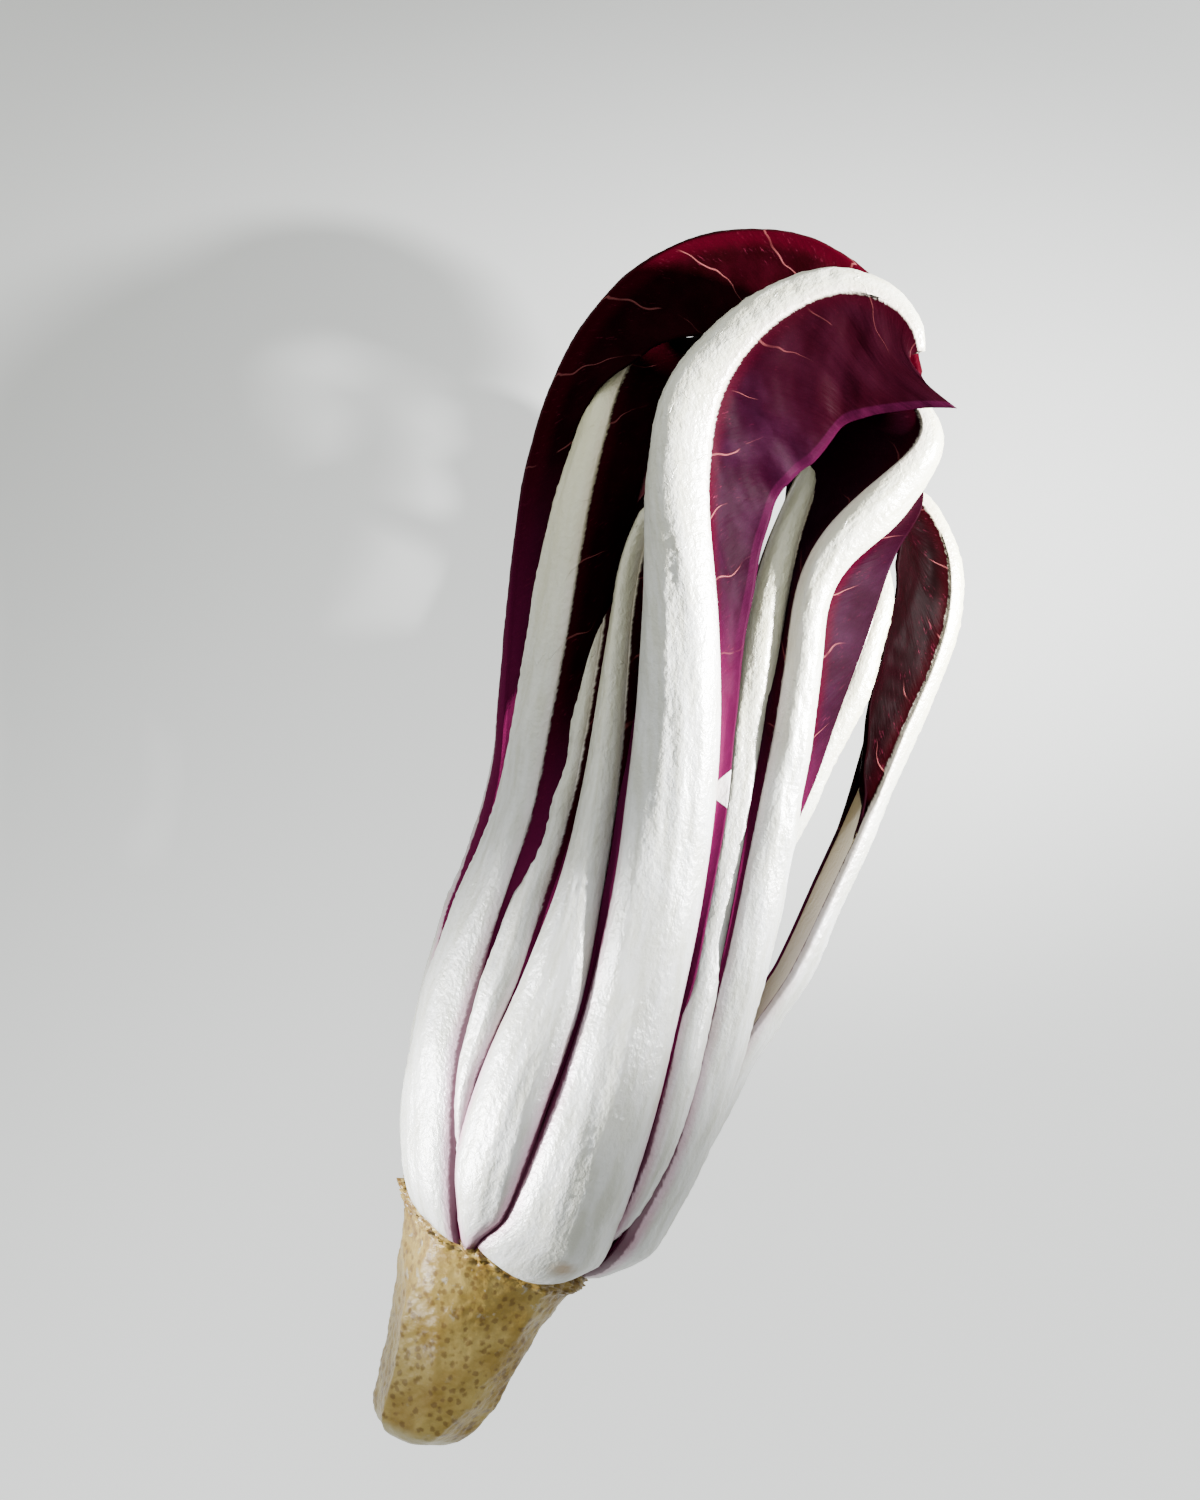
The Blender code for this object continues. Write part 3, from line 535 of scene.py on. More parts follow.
def leaf_material(name, seed, gloss, blade, painted_sheen, band, vein_gap=13.0, vein_reach=9.0, cream=0.6, lip=0.0,
                  spread=0.0, seam=2.1, dusk=0.0, inner=None, marks=(), torn=None):
    """White rib and dark red blade with a feathered border, from the leaf's own places.

    Veins run vein_gap apart and vein_reach far into the blade. cream and dusk are how much of those colours
    the upper parts of rib and blade take. lip is the width of the paler margin. spread and seam are how far
    the red runs onto the rib, on its right side and near the stem. inner is painted shade on the leaf's
    inside: a tan that stands in for its white in shade. marks are stains on the rib (along, across, size),
    and torn is where a pale tear shows in the blade.
    """
    n = Nodes(bpy.data.materials.new(name))
    u, far, side = n.split(n.attribute("leaf_place", "Vector"))
    share = n.attribute("leaf_share")
    edge = n.attribute("leaf_edge")
    place = n.join(u, far, n.line(side, 40.0, seed * 13.7))
    slanting = n.join(n.line(far, -0.9, u), n.times(far, 0.3), n.line(side, 9.0, seed * 3.1))
    streaks = n.noise(slanting, 1.3, 4.0, 0.65)
    broad = n.noise(place, 0.16, 2.0)
    border = n.math("ADD", far, n.line(streaks, 1.0, -0.5))
    border = n.math("ADD", border, n.line(broad, 0.5, -0.25))
    if spread:
        flank = n.times(n.step(side, -0.2, 0.1), n.step(share, 0.12, 0.22))
        border = n.line(flank, spread, border)
    low_part = n.step(share, 0.45, 0.1)
    border = n.line(low_part, seam, border)
    blade_mask = n.step(border, 0.05, 0.6)

    pebble = n.noise(n.join(n.times(u, 0.8), far, side), 1.15, 4.0, 0.55)
    mottle = n.noise(place, 0.12, 3.0, 0.55)
    rib = n.mix(n.step(mottle, 0.3, 0.7), SHADED_WHITE, WHITE)
    rib = n.mix(n.times(n.step(share, 0.4, 0.9), cream), rib, CREAM)
    lilac = n.times(n.step(border, -2.2, 0.1), n.line(low_part, 0.35, 0.12))
    rib = n.mix(lilac, rib, LILAC)
    freckles = n.step(n.noise(place, 0.55, 2.0, 0.5), 0.70, 0.78)
    rib = n.mix(n.times(freckles, 0.25), rib, FRECKLE)
    for along, across, size in marks:
        offset = n.join(n.math("SUBTRACT", u, along), n.times(n.math("SUBTRACT", side, across), 8.0))
        stain = n.step(n.line(streaks, 1.2, n.length(offset)), size + 1.2, size * 0.3 + 0.4)
        rib = n.mix(n.times(stain, 0.8), rib, STAIN)
    # Painted shade: the leaf's inside takes a tan that stands in for its white in shade.
    if inner:
        rib = n.mix(n.attribute("leaf_inside"), rib, inner)

    # Painted sheen: cloudy patches of the lighter sheen colour stand in for light reflected off the blade.
    painted_sheen_patches = n.noise(place, 0.13, 4.0, 0.6)
    red = n.mix(n.step(painted_sheen_patches, 0.35, 0.7), blade, painted_sheen)
    near_rib = n.step(n.line(streaks, 2.0, far), 4.4, 1.6)
    red = n.mix(n.times(near_rib, 0.8), red, band)
    red = n.mix(n.times(n.step(share, 0.6, 0.35), 0.75), red, SEAM)
    flecks = n.step(n.noise(slanting, 2.6, 3.0, 0.7), 0.60, 0.70)
    patches = n.step(n.noise(place, 0.3, 2.0, 0.5), 0.42, 0.6)
    fleck_fade = n.times(n.line(n.step(far, 9.0, 1.0), 0.36, 0.04), patches)
    red = n.mix(n.times(flecks, fleck_fade), red, FLECK)
    wander = n.line(n.noise(place, 0.09, 2.0), 9.0, -4.5)
    slant = n.math("ADD", n.line(far, -0.8, u), wander)
    wave = n.times(n.math("PINGPONG", n.math("DIVIDE", slant, vein_gap), 0.5), vein_gap)
    width = n.line(n.step(far, vein_reach * 1.3, 0.0), 0.22, 0.05)
    vein = n.step(n.math("DIVIDE", wave, width), 1.0, 0.4)
    vein = n.times(vein, n.step(n.noise(place, 0.16, 2.0, 0.5), 0.40, 0.55))
    vein = n.times(vein, n.step(far, vein_reach * 1.2, vein_reach * 0.5))
    vein = n.times(vein, n.step(share, 0.5, 0.6))
    red = n.mix(n.times(vein, 0.5), red, VEIN)
    if dusk:
        red = n.mix(n.times(n.step(share, 0.72, 0.86), dusk), red, DUSK)
    if lip:
        hem = n.step(edge, lip, lip * 0.8)
        red = n.mix(n.times(hem, 0.5), red, LIP)
    if torn:
        gap = n.math("SUBTRACT", n.times(far, 0.75), n.math("ABSOLUTE", n.math("SUBTRACT", u, torn)))
        flap = n.times(n.step(gap, 0.0, 0.2), n.step(side, 0.9, 1.0))
        blade_mask = n.times(blade_mask, n.math("SUBTRACT", 1.0, flap))

    colour = n.mix(blade_mask, rib, red)
    pebbled = n.times(pebble, n.math("SUBTRACT", 1.0, blade_mask))
    streaked = n.times(n.noise(slanting, 0.9, 3.0, 0.6), n.times(blade_mask, 0.35))
    relief = n.line(vein, 0.25, n.math("ADD", pebbled, streaked))
    bump = n.node("Bump", Strength=1.0, Distance=0.00026, Height=relief)
    roughness = n.line(blade_mask, 0.12, 0.36)
    return n.surface(Base_Color=colour, Normal=bump.outputs[0], Roughness=roughness,
                     Specular_IOR_Level=gloss, Subsurface_Weight=0.12,
                     Subsurface_Radius=(0.0012, 0.001, 0.0008))


SKINS = {
    "outer_leaf_1": dict(
        VIOLET, vein_gap=12.0, dusk=0.75, lip=1.9, cream=0.35, marks=[(5.2, 0.12, 1.6)], torn=87.0
    ),
    "outer_leaf_2": dict(VIOLET, cream=0.4, vein_reach=5.0, dusk=0.6),
    # The next leaf has painted shade: a darker blade and a tan inside, for a leaf that lies in shade.
    "outer_leaf_3": dict(DARK_IN_PAINTED_SHADE, vein_reach=4.0, seam=0.2, inner=(0.40, 0.33, 0.19)),
    "outer_leaf_7": dict(DARK, vein_gap=15.0, vein_reach=16.0, cream=0.9, spread=2.9),
    "outer_leaf_8": dict(DARK, cream=0.8, vein_reach=6.0, marks=[(148.0, 0.1, 1.0), (122.0, -0.3, 0.7)]),
}


# The hem near the stem, as (share, fold, curl, reach): it fills the gap to the next rib.
HEM = [(0.0, 70, 0, 0.5), (0.04, 44, 0, 1.3), (0.2, 34, 0, 2.6), (0.4, 38, 0, 3.6)]


def wing(fold, reach, curl=10.0):
    """A wing that hems the rib and opens near the tip, as rows of (share, fold, curl, reach)."""
    opening = [(0.76, fold, curl, reach), (0.88, fold, curl, 0.9 * reach), (1.0, fold, curl, 1.0)]
    return {"rows": HEM + opening}


LEAVES = [
    Leaf(
        "outer_leaf_1", OUTER_WHORL,
        [(23, 22, 3.2), (26, 24.4, 4.6), (27.6, 24.4, 5.2), (22.6, 22.8, 5.4), (18.8, 20.8, 5.4),
         (13.7, 18.2, 5.4)],
        [
            (9.2, 64, 51.6, 9, 15.8, 5.4), (6.4, 80, 53.2, 2, 15.4, 5.4), (2.6, 96, 54, -8, 14.6, 5.6),
            (-2.7, 112.6, 54, -22, 13.6, 6), (-8.2, 128, 53.6, -42, 12.4, 7.6),
            (-11, 140.5, 53, -57, 11.2, 8.8), (-10.3, 151.5, 52.4, -66, 10, 7.9),
            (-5.3, 161.9, 51.8, -73, 8.8, 6.3), (1.2, 169.4, 51.4, -77, 7.6, 5.4),
            (8.3, 173.4, 51.2, -79, 6.6, 4.7), (15.2, 173.8, 51, -80, 5.6, 3.8),
            (19.6, 172, 51, -81, 4.6, 2.9), (22.6, 169.6, 51.1, -82, 3.8, 2.3),
            (24.6, 166.2, 51.2, -82, 2.6, 1.5),
        ],
        {"rows": HEM[:3] + [(0.4, 56, 0, 4), (0.55, 80, 0, 6), (0.8, 88, 8, 11), (0.9, 88, 8, 10),
                            (1, 88, 8, 3)]},
        {"rows": HEM[:3] + [(0.42, 78, 0, 5), (0.56, 84, 6, 8.5), (1, 84, 10, 8)],
         "margin": [
             (0.2, 20.4, 40, 46, 0), (0.26, 19.4, 52, 46.4, 1), (0.32, 17.9, 65, 48, 1),
             (0.4, 16, 82, 49.4, 1), (0.46, 13.4, 94, 49.6, 1), (0.52, 11.4, 104, 49.4, 1),
             (0.563, 9.8, 113, 49, 1), (0.6, 9, 121, 48.6, 1), (0.643, 8, 129.5, 48.2, 1),
             (0.706, 8.9, 138.6, 48, 1), (0.77, 12.6, 143.2, 48, 1), (0.81, 14.6, 147.6, 48.4, 1),
             (0.85, 15.3, 151, 49, 1), (0.88, 17.6, 152.5, 49.6, 1), (0.924, 23, 155.2, 50.4, 1),
             (0.96, 28.1, 157.5, 51.4, 1), (1, 33, 158.6, 51.8, 1),
         ]},
        OUTER_CELLS, 11, wrinkles=(0.62, 0.93, 0.75, 0.4), bulge=2.3, corners=(0, 3.4),
    ),
    Leaf(
        "outer_leaf_2", OUTER_WHORL,
        [(94, 9, 3), (91, 11, 3.8), (85, 13, 4.4), (76, 15.2, 4.8), (69.5, 13.8, 4.8), (57.5, 11.8, 4.6)],
        [
            (27.8, 60, 43, 50, 10.2, 4.6), (26.5, 73, 44.6, 44, 9.4, 4.6), (24.9, 87, 46, 36, 8.2, 4.5),
            (23.3, 100, 47, 28, 7.4, 4.4), (21, 113, 47.4, 20, 6.6, 4.3), (19.8, 119.5, 47.4, 17, 6.4, 4.3),
            (19.8, 125, 47.4, 17, 6.8, 4.2), (21.2, 130.2, 47.3, 20, 7.6, 4.2),
            (23.7, 134.9, 47.1, 25, 8.6, 4.2), (26.5, 139.3, 46.8, 32, 9.2, 4.1),
            (29.2, 144.3, 46.2, 44, 9, 4), (30.9, 149.2, 45.4, 58, 8.2, 3.9),
            (30.9, 153.6, 44.6, 68, 7.2, 3.7), (28.6, 157.4, 43.8, 76, 6.2, 3.4),
            (22, 160, 42.6, 84, 4.6, 2.8), (16, 158, 42, 84, 2.6, 1.8),
        ],
        {"rows": [(0, 80, 0, 0.4), (0.04, 64, 0, 0.8), (0.3, 44, 0, 1.2), (0.45, 38, 0, 1.8),
                  (0.6, 44, 0, 2.6), (0.68, 80, 0, 3.6), (0.78, 96, 6, 5), (0.84, 88, 10, 10),
                  (0.94, 88, 10, 4), (1, 88, 10, 2)],
         "margin": [
             (0.62, 15.5, 116, 41, 0), (0.7, 13.6, 124, 38.6, 1), (0.755, 11.4, 132, 37, 1),
             (0.8, 10, 138, 36, 1), (0.84, 9, 144, 36, 1), (0.88, 10, 150, 37, 1), (0.925, 13, 154, 38, 1),
             (1, 14, 156, 39, 0.6),
         ]},
        {"rows": [(0, 140, 0, 0.8), (0.34, 130, 0, 0.8), (0.46, 60, 0, 1.4), (0.52, 30, 6, 2.6),
                  (0.6, 20, 10, 5), (0.67, 14, 14, 7.4), (0.74, 20, 20, 7.5), (0.8, 50, 20, 6),
                  (1, 88, 10, 1)],
         "margin": [
             (0.44, 29.5, 78, 39.5, 0), (0.52, 29.3, 92, 40.4, 1), (0.6, 29.6, 105, 40.8, 1),
             (0.67, 30.4, 116, 40.8, 1), (0.72, 30.6, 125, 40.6, 1), (0.755, 30.6, 131, 40.4, 1),
             (0.8, 31.6, 136, 41, 1), (0.86, 34, 143, 41.5, 1), (0.92, 33, 150, 40, 0),
         ]},
        OUTER_CELLS, 12, ruffle=0.05,
    ),
    Leaf(
        "outer_leaf_3", OUTER_WHORL,
        [(124, 7, 3), (120, 8.8, 3.8), (114, 10.6, 4.6), (107, 12.8, 4.8), (102, 14, 4.8), (100, 13.8, 4.8)],
        [
            (37, 58, 22, 100, 13, 4.8), (39.6, 74, 20.4, 104, 12, 4.7), (41.8, 90, 19, 106, 10.8, 4.6),
            (43.4, 105, 18.2, 106, 9.6, 4.5), (45.4, 119, 17.8, 103, 8.4, 4.4), (45, 130, 17.8, 99, 7.4, 4),
            (41.4, 139.4, 18, 96, 6, 3.3), (35, 145.6, 18.4, 94, 4.4, 2.6), (28, 148, 18.6, 92, 2.6, 1.8),
        ],
        {"rows": [(0, 150, 0, 0.4), (0.5, 150, 0, 0.5), (0.585, 150, 0, 0.6), (0.6, 110, 0, 3),
                  (0.76, 84, 10, 9), (0.9, 84, 10, 8), (1, 84, 10, 1)],
         "margin": [
             (0.585, 38, 97, 27, 0), (0.6, 37.6, 99, 27.2, 1), (0.65, 35, 111, 28.5, 1),
             (0.76, 34, 126, 30, 1), (0.85, 32, 137, 30, 1), (0.95, 30, 142, 27, 1), (1, 28, 143, 24, 0.5),
         ]},
        {"rows": [(0, 130, 0, 0.6), (0.3, 120, 0, 0.7), (0.56, 110, 0, 0.8), (0.66, 90, 0, 3),
                  (0.76, 84, 10, 8), (0.88, 84, 10, 7), (1, 84, 10, 1)]},
        OUTER_CELLS, 13,
    ),
    Leaf(
        "outer_leaf_4", OUTER_WHORL,
        [(152, 7.6, 3), (146, 9.4, 4), (139.5, 12.2, 4.7), (136.5, 14.4, 5), (134, 15.8, 5), (137, 15.4, 5)],
        [
            (24.6, 62, 6, 139, 13.6, 5), (26, 84, 4.2, 142, 11.6, 4.8), (27, 106, 3.8, 144, 9.6, 4.4),
            (25, 125, 5.4, 142, 8, 4), (19.5, 138, 11, 138, 6.2, 3.2), (13, 141.5, 18, 136, 3.2, 1.8),
        ],
        wing(90, 9), wing(90, 9), OUTER_CELLS, 14,
    ),
    Leaf(
        "outer_leaf_5", OUTER_WHORL,
        [(188, 7.6, 3), (183, 9.4, 4), (178.5, 12.2, 4.7), (176, 14.4, 5), (174.5, 15.8, 5.2),
         (178, 15.8, 5.2)],
        [
            (5.6, 64, 2.4, 179, 14.6, 5.2), (5.6, 88, 2.2, 180, 12.4, 5), (5.4, 112, 2, 180, 10.2, 4.6),
            (4.8, 132, 3.6, 180, 8.4, 4.2), (3.8, 146, 9.6, 180, 6.8, 3.4), (3.2, 150.5, 18, 180, 5, 2.6),
            (2.8, 145.5, 25, 180, 2.6, 1.8),
        ],
        wing(92, 9), wing(92, 9), OUTER_CELLS, 15,
    ),
    Leaf(
        "outer_leaf_6", OUTER_WHORL,
        [(224, 7.6, 3), (220, 9.4, 4), (217.5, 12.2, 4.7), (215.5, 14.4, 5), (214.5, 15.8, 5),
         (217, 15.4, 5)],
        [
            (-13.6, 62, 5.4, 218, 13.8, 5), (-15.6, 84, 4.3, 217, 11.8, 4.8),
            (-18, 106, 3.9, 216, 9.8, 4.5), (-19.4, 126, 5.2, 217, 8.2, 4), (-17.4, 143, 10, 220, 6.8, 3.5),
            (-12.5, 151.5, 16.4, 223, 5, 2.8), (-6.5, 152.5, 22.6, 224, 2.6, 1.8),
        ],
        wing(90, 9), wing(90, 9), OUTER_CELLS, 16,
    ),
    Leaf(
        "outer_leaf_7", OUTER_WHORL,
        [(260, 7.6, 3), (258, 9.4, 4), (256.5, 12.2, 4.7), (255, 14.4, 5), (255, 15.6, 5), (256, 14.2, 5)],
        [
            (-22.6, 60, 21.4, 254, 13.2, 5), (-22.4, 76, 22.4, 246, 12.4, 4.9),
            (-24.8, 91, 23.6, 236, 11.8, 4.8), (-28, 107, 25.2, 228, 11, 4.6),
            (-30.9, 123, 27.4, 224, 10.2, 4.4), (-32, 138, 29.8, 222, 9.6, 4.2),
            (-30.6, 152, 32.2, 222, 9, 4), (-25.9, 164.4, 34, 222, 8.4, 3.8),
            (-17.9, 173.4, 34.4, 222, 7.8, 3.6), (-7.9, 178.6, 34.4, 224, 6.8, 3.3),
            (2.7, 180.2, 34.4, 226, 5.8, 2.9), (12.6, 177.4, 34.2, 230, 4.6, 2.4),
            (20.4, 172, 34, 234, 3.8, 2), (25.8, 165.4, 34.2, 238, 3, 1.6),
            (26.6, 159.6, 34.6, 240, 2.2, 1.2),
        ],
        {"rows": [(0, 140, 0, 0.9), (0.5, 140, 0, 1.4), (0.72, 100, 10, 4), (0.9, 92, 10, 7),
                  (1, 88, 10, 1)]},
        {"rows": [(0, 90, 0, 0.9), (0.2, 84, 0, 1.6), (0.36, 100, 0, 2.4), (0.5, 124, 0, 3.2),
                  (0.76, 130, 10, 14), (1, 120, 10, 4)],
         "margin": [
             (0.26, -21, 60, 27, 0), (0.32, -21.4, 76, 27, 1), (0.4, -22.4, 92, 28, 1),
             (0.46, -24.6, 106, 29.5, 1), (0.53, -27.2, 122, 32, 1), (0.6, -28.4, 139, 36.5, 1),
             (0.63, -27.2, 145.4, 38.5, 1), (0.66, -21.4, 152.7, 41, 1), (0.715, -16, 157.6, 42, 1),
             (0.765, -9, 161, 42, 1), (0.815, -3, 162.5, 41.5, 1), (0.862, 5, 162, 40, 1),
             (0.905, 12, 161, 39, 1), (0.94, 18, 160, 38, 1), (0.97, 23, 157.5, 37, 1),
             (1, 25.6, 156, 36, 1),
         ]},
        OUTER_CELLS, 17,
    ),
    Leaf(
        "outer_leaf_8", OUTER_WHORL,
        [(311, 17.5, 3.2), (307, 19.4, 4.2), (302.6, 20.4, 4.7), (297.6, 21, 4.8), (292.8, 20.6, 4.8),
         (293.6, 18, 4.8)],
        [
            (-20, 61, 39, 294, 12.4, 4.8), (-19.8, 74, 40, 294, 11.8, 4.8), (-21.4, 88, 41, 297, 11.2, 4.8),
            (-23, 103, 41.4, 298, 10.8, 4.8), (-24.7, 117, 41, 297, 10.2, 4.8),
            (-25.6, 128, 39.6, 294, 9.6, 4.6), (-25.7, 138, 37.2, 292, 8.4, 4.2),
            (-25.3, 147.5, 34.4, 292, 6.8, 3.6), (-22.8, 156, 31.6, 290, 5, 3),
            (-18.2, 161, 30, 288, 2.8, 1.8),
        ],
        wing(90, 6),
        {"rows": [(0, 80, 0, 0.5), (0.04, 50, 0, 1.3), (0.2, 52, 0, 3), (0.4, 70, 0, 5.6), (0.55, 88, 0, 7),
                  (0.63, 92, 0, 8), (0.72, 92, 0, 10), (0.85, 90, 0, 12), (0.93, 90, 0, 10), (1, 92, 0, 3)],
         "margin": [
             (0.5, -13, 92, 33, 0), (0.62, -12, 110, 31, 0.6), (0.74, -11, 130, 31, 1),
             (0.84, -9, 146, 33, 1), (0.9, -8, 156, 36, 1), (0.95, -7, 163, 37, 1), (1, -8, 166, 36, 1),
         ]},
        OUTER_CELLS, 18, bulge=1.8, corners=(0, -1.9), ruffle=0.04,
    ),
    Leaf(
        "outer_leaf_9", OUTER_WHORL,
        [(345, 2.4, 1.6), (344, 4.8, 2.8), (343.8, 9.6, 4), (341, 13.8, 4.6), (341.2, 14.4, 4.6),
         (342.3, 12.4, 4.6)],
        [
            (-4.4, 60, 48.4, 342, 8.6, 4.6), (-5.6, 74, 47.4, 340, 7, 4.4), (-7.6, 88, 46, 336, 5.8, 4.2),
            (-10, 101, 44.2, 330, 4.6, 3.8), (-12, 114, 41.6, 324, 3.6, 3.2), (-12, 127, 38.2, 320, 3, 2.6),
            (-8, 136, 35.2, 316, 2.2, 1.8),
        ],
        wing(96, 6), wing(60, 6), OUTER_CELLS, 19, bulge=1.5, corners=(-1.2, -1.2),
    ),
    Leaf(
        "inner_leaf_1", MIDDLE_WHORL,
        [(70, 1.2, 1.4), (69, 1.4, 1.8), (66, 1.8, 2.4), (54.8, 3.8, 3.2), (48, 6.4, 3.6), (39, 6.4, 3.6)],
        [
            (20.9, 60, 43.6, 36, 6.8, 3.6), (19, 76, 44.8, 28, 6.8, 3.6), (16.6, 92, 45.4, 19, 7, 3.5),
            (14, 107, 45.6, 10, 7.2, 3.4), (12.4, 120, 45, 4, 6.2, 3.2), (12, 131, 42.2, 2, 4.9, 2.8),
            (12.8, 141, 38.6, 2, 3.8, 2.2), (13.6, 147, 33.4, 2, 2.2, 1.6),
        ],
        wing(80, 5), wing(46, 5), INNER_CELLS, 21, ruffle=0.03,
    ),
    Leaf(
        "inner_leaf_2", INNER_WHORL, [(92, 5.6, 2.4), (92, 7, 3.2), (86, 7.6, 3.4), (80, 7.4, 3.4)],
        [
            (26.2, 60, 32, 76, 6.6, 3.4), (27.6, 77, 35, 68, 6.2, 3.4), (29.4, 92, 36.6, 60, 6.2, 3.3),
            (31.6, 104, 37.4, 56, 6, 3.2), (32.6, 115, 37.2, 56, 5.4, 3), (32.2, 125, 35.8, 62, 4.4, 2.6),
            (28.6, 132, 33.6, 70, 3.4, 2.2), (23, 134, 31.6, 74, 2.2, 1.6),
        ],
        wing(92, 5), wing(88, 7), INNER_CELLS, 22,
    ),
    Leaf(
        "inner_leaf_3", INNER_WHORL, [(140, 6, 2.2), (140, 7.6, 3), (139, 8.6, 3), (141, 8.6, 3)],
        [
            (17.2, 62, 13.2, 143, 8, 3), (18.2, 86, 13.6, 143, 6.8, 2.8), (18.6, 106, 15.4, 140, 5.8, 2.6),
            (16.4, 121, 20.8, 136, 4.4, 2.2), (12.6, 125.5, 27.2, 134, 2.4, 1.6),
        ],
        wing(98, 5), wing(98, 5), INNER_CELLS, 23,
    ),
    Leaf(
        "inner_leaf_4", INNER_WHORL, [(190, 6, 2.4), (192, 7.6, 3.2), (194, 8.6, 3.4), (196, 8.6, 3.4)],
        [
            (-1.6, 62, 9.6, 197, 8, 3.4), (-3.2, 86, 10.6, 198, 6.8, 3.2), (-5, 108, 12.4, 200, 5.8, 2.8),
            (-6.2, 125, 17, 202, 4.6, 2.4), (-6, 132, 24.4, 204, 2.4, 1.6),
        ],
        wing(98, 5), wing(98, 5), INNER_CELLS, 24,
    ),
    Leaf(
        "inner_leaf_5", INNER_WHORL, [(246, 6, 2.4), (250, 7.6, 3), (252, 8.6, 3.2), (256, 8.4, 3.2)],
        [
            (-16.4, 62, 23.6, 260, 7.8, 3.2), (-17, 84, 25.6, 262, 7, 3), (-20, 106, 27.6, 264, 6, 2.8),
            (-21.6, 124, 27.6, 266, 4.8, 2.4), (-18, 136, 26.4, 268, 2.4, 1.6),
        ],
        wing(96, 5), wing(96, 5), INNER_CELLS, 25,
    ),
    Leaf(
        "inner_leaf_6", MIDDLE_WHORL,
        [(330, 1.2, 1.4), (329, 1.4, 1.8), (328, 1.8, 2.2), (324, 2.6, 2.6), (321, 5, 3.4), (322, 7.2, 3.4)],
        [
            (-12.6, 60, 41.8, 318, 6.6, 3.4), (-12.5, 76, 41.4, 318, 6, 3.2),
            (-13.6, 92, 40.6, 317, 4.6, 3), (-15.2, 106, 38.6, 314, 3.6, 2.6),
            (-16, 118, 34.8, 310, 3, 2.2), (-11.8, 127, 32.2, 308, 2.2, 1.6),
        ],
        wing(80, 4), wing(50, 5), INNER_CELLS, 26, ruffle=0.03,
    ),
    Leaf(
        "heart_leaf_1", HEART_WHORL, [(60, 4.4, 2), (60, 5.4, 2.6), (60, 5.8, 2.6)],
        [
            (14.2, 60, 32.2, 60, 5.4, 2.6), (13.6, 82, 33.4, 58, 4.6, 2.4), (10.4, 104, 34, 56, 3.6, 2.2),
            (5.4, 115, 34.2, 54, 2.2, 1.6),
        ],
        wing(70, 12), wing(60, 14), INNER_CELLS, 27,
    ),
    Leaf(
        "heart_leaf_2", HEART_WHORL, [(240, 4.4, 2), (240, 5.4, 2.6), (240, 5.8, 2.6)],
        [
            (-4.6, 60, 22.4, 240, 5.4, 2.6), (-4.8, 82, 22.4, 238, 4.6, 2.4),
            (-2.4, 101, 23.4, 236, 3.6, 2.2), (2.6, 111, 25.2, 234, 2.2, 1.6),
        ],
        wing(60, 14), wing(70, 12), INNER_CELLS, 28,
    ),
]


# The root's outline, as distance along, middle across, radius across and radius up. It is widened a little,
# because the knife strokes narrow it.
ROOT_WIDEN = 1.06
ROOT_PROFILE = [
    (-40, -4.8, 4.8, 5.2), (-39.4, -4.5, 6.8, 6.8), (-38, -4, 8.8, 8.6), (-36, -3.5, 10.2, 9.8),
    (-30, -2.2, 12, 11.2), (-22, -2, 12.8, 12.2), (-15.5, -1.7, 13.6, 13.2), (-8, -1.2, 15.2, 14.8),
    (-4, -0.9, 16.4, 15.8), (-1.8, -0.9, 16.8, 16.4), (-0.2, -1, 15.6, 15.2), (1.2, -1.2, 11.6, 11.6),
    (4, -1.4, 8.2, 8.2), (8, -1.4, 3.4, 3.4), (12.5, -1.4, 1.8, 1.8),
]
ROOT_CELLS = (150, 192)
KNIFE_STROKES = 26
GOLDEN_TURN = 0.382
# A stroke cuts only where the root faces it by LEAST_FACING, and elsewhere it stays NO_CUT radii away.
LEAST_FACING = 0.3
NO_CUT = 9.0


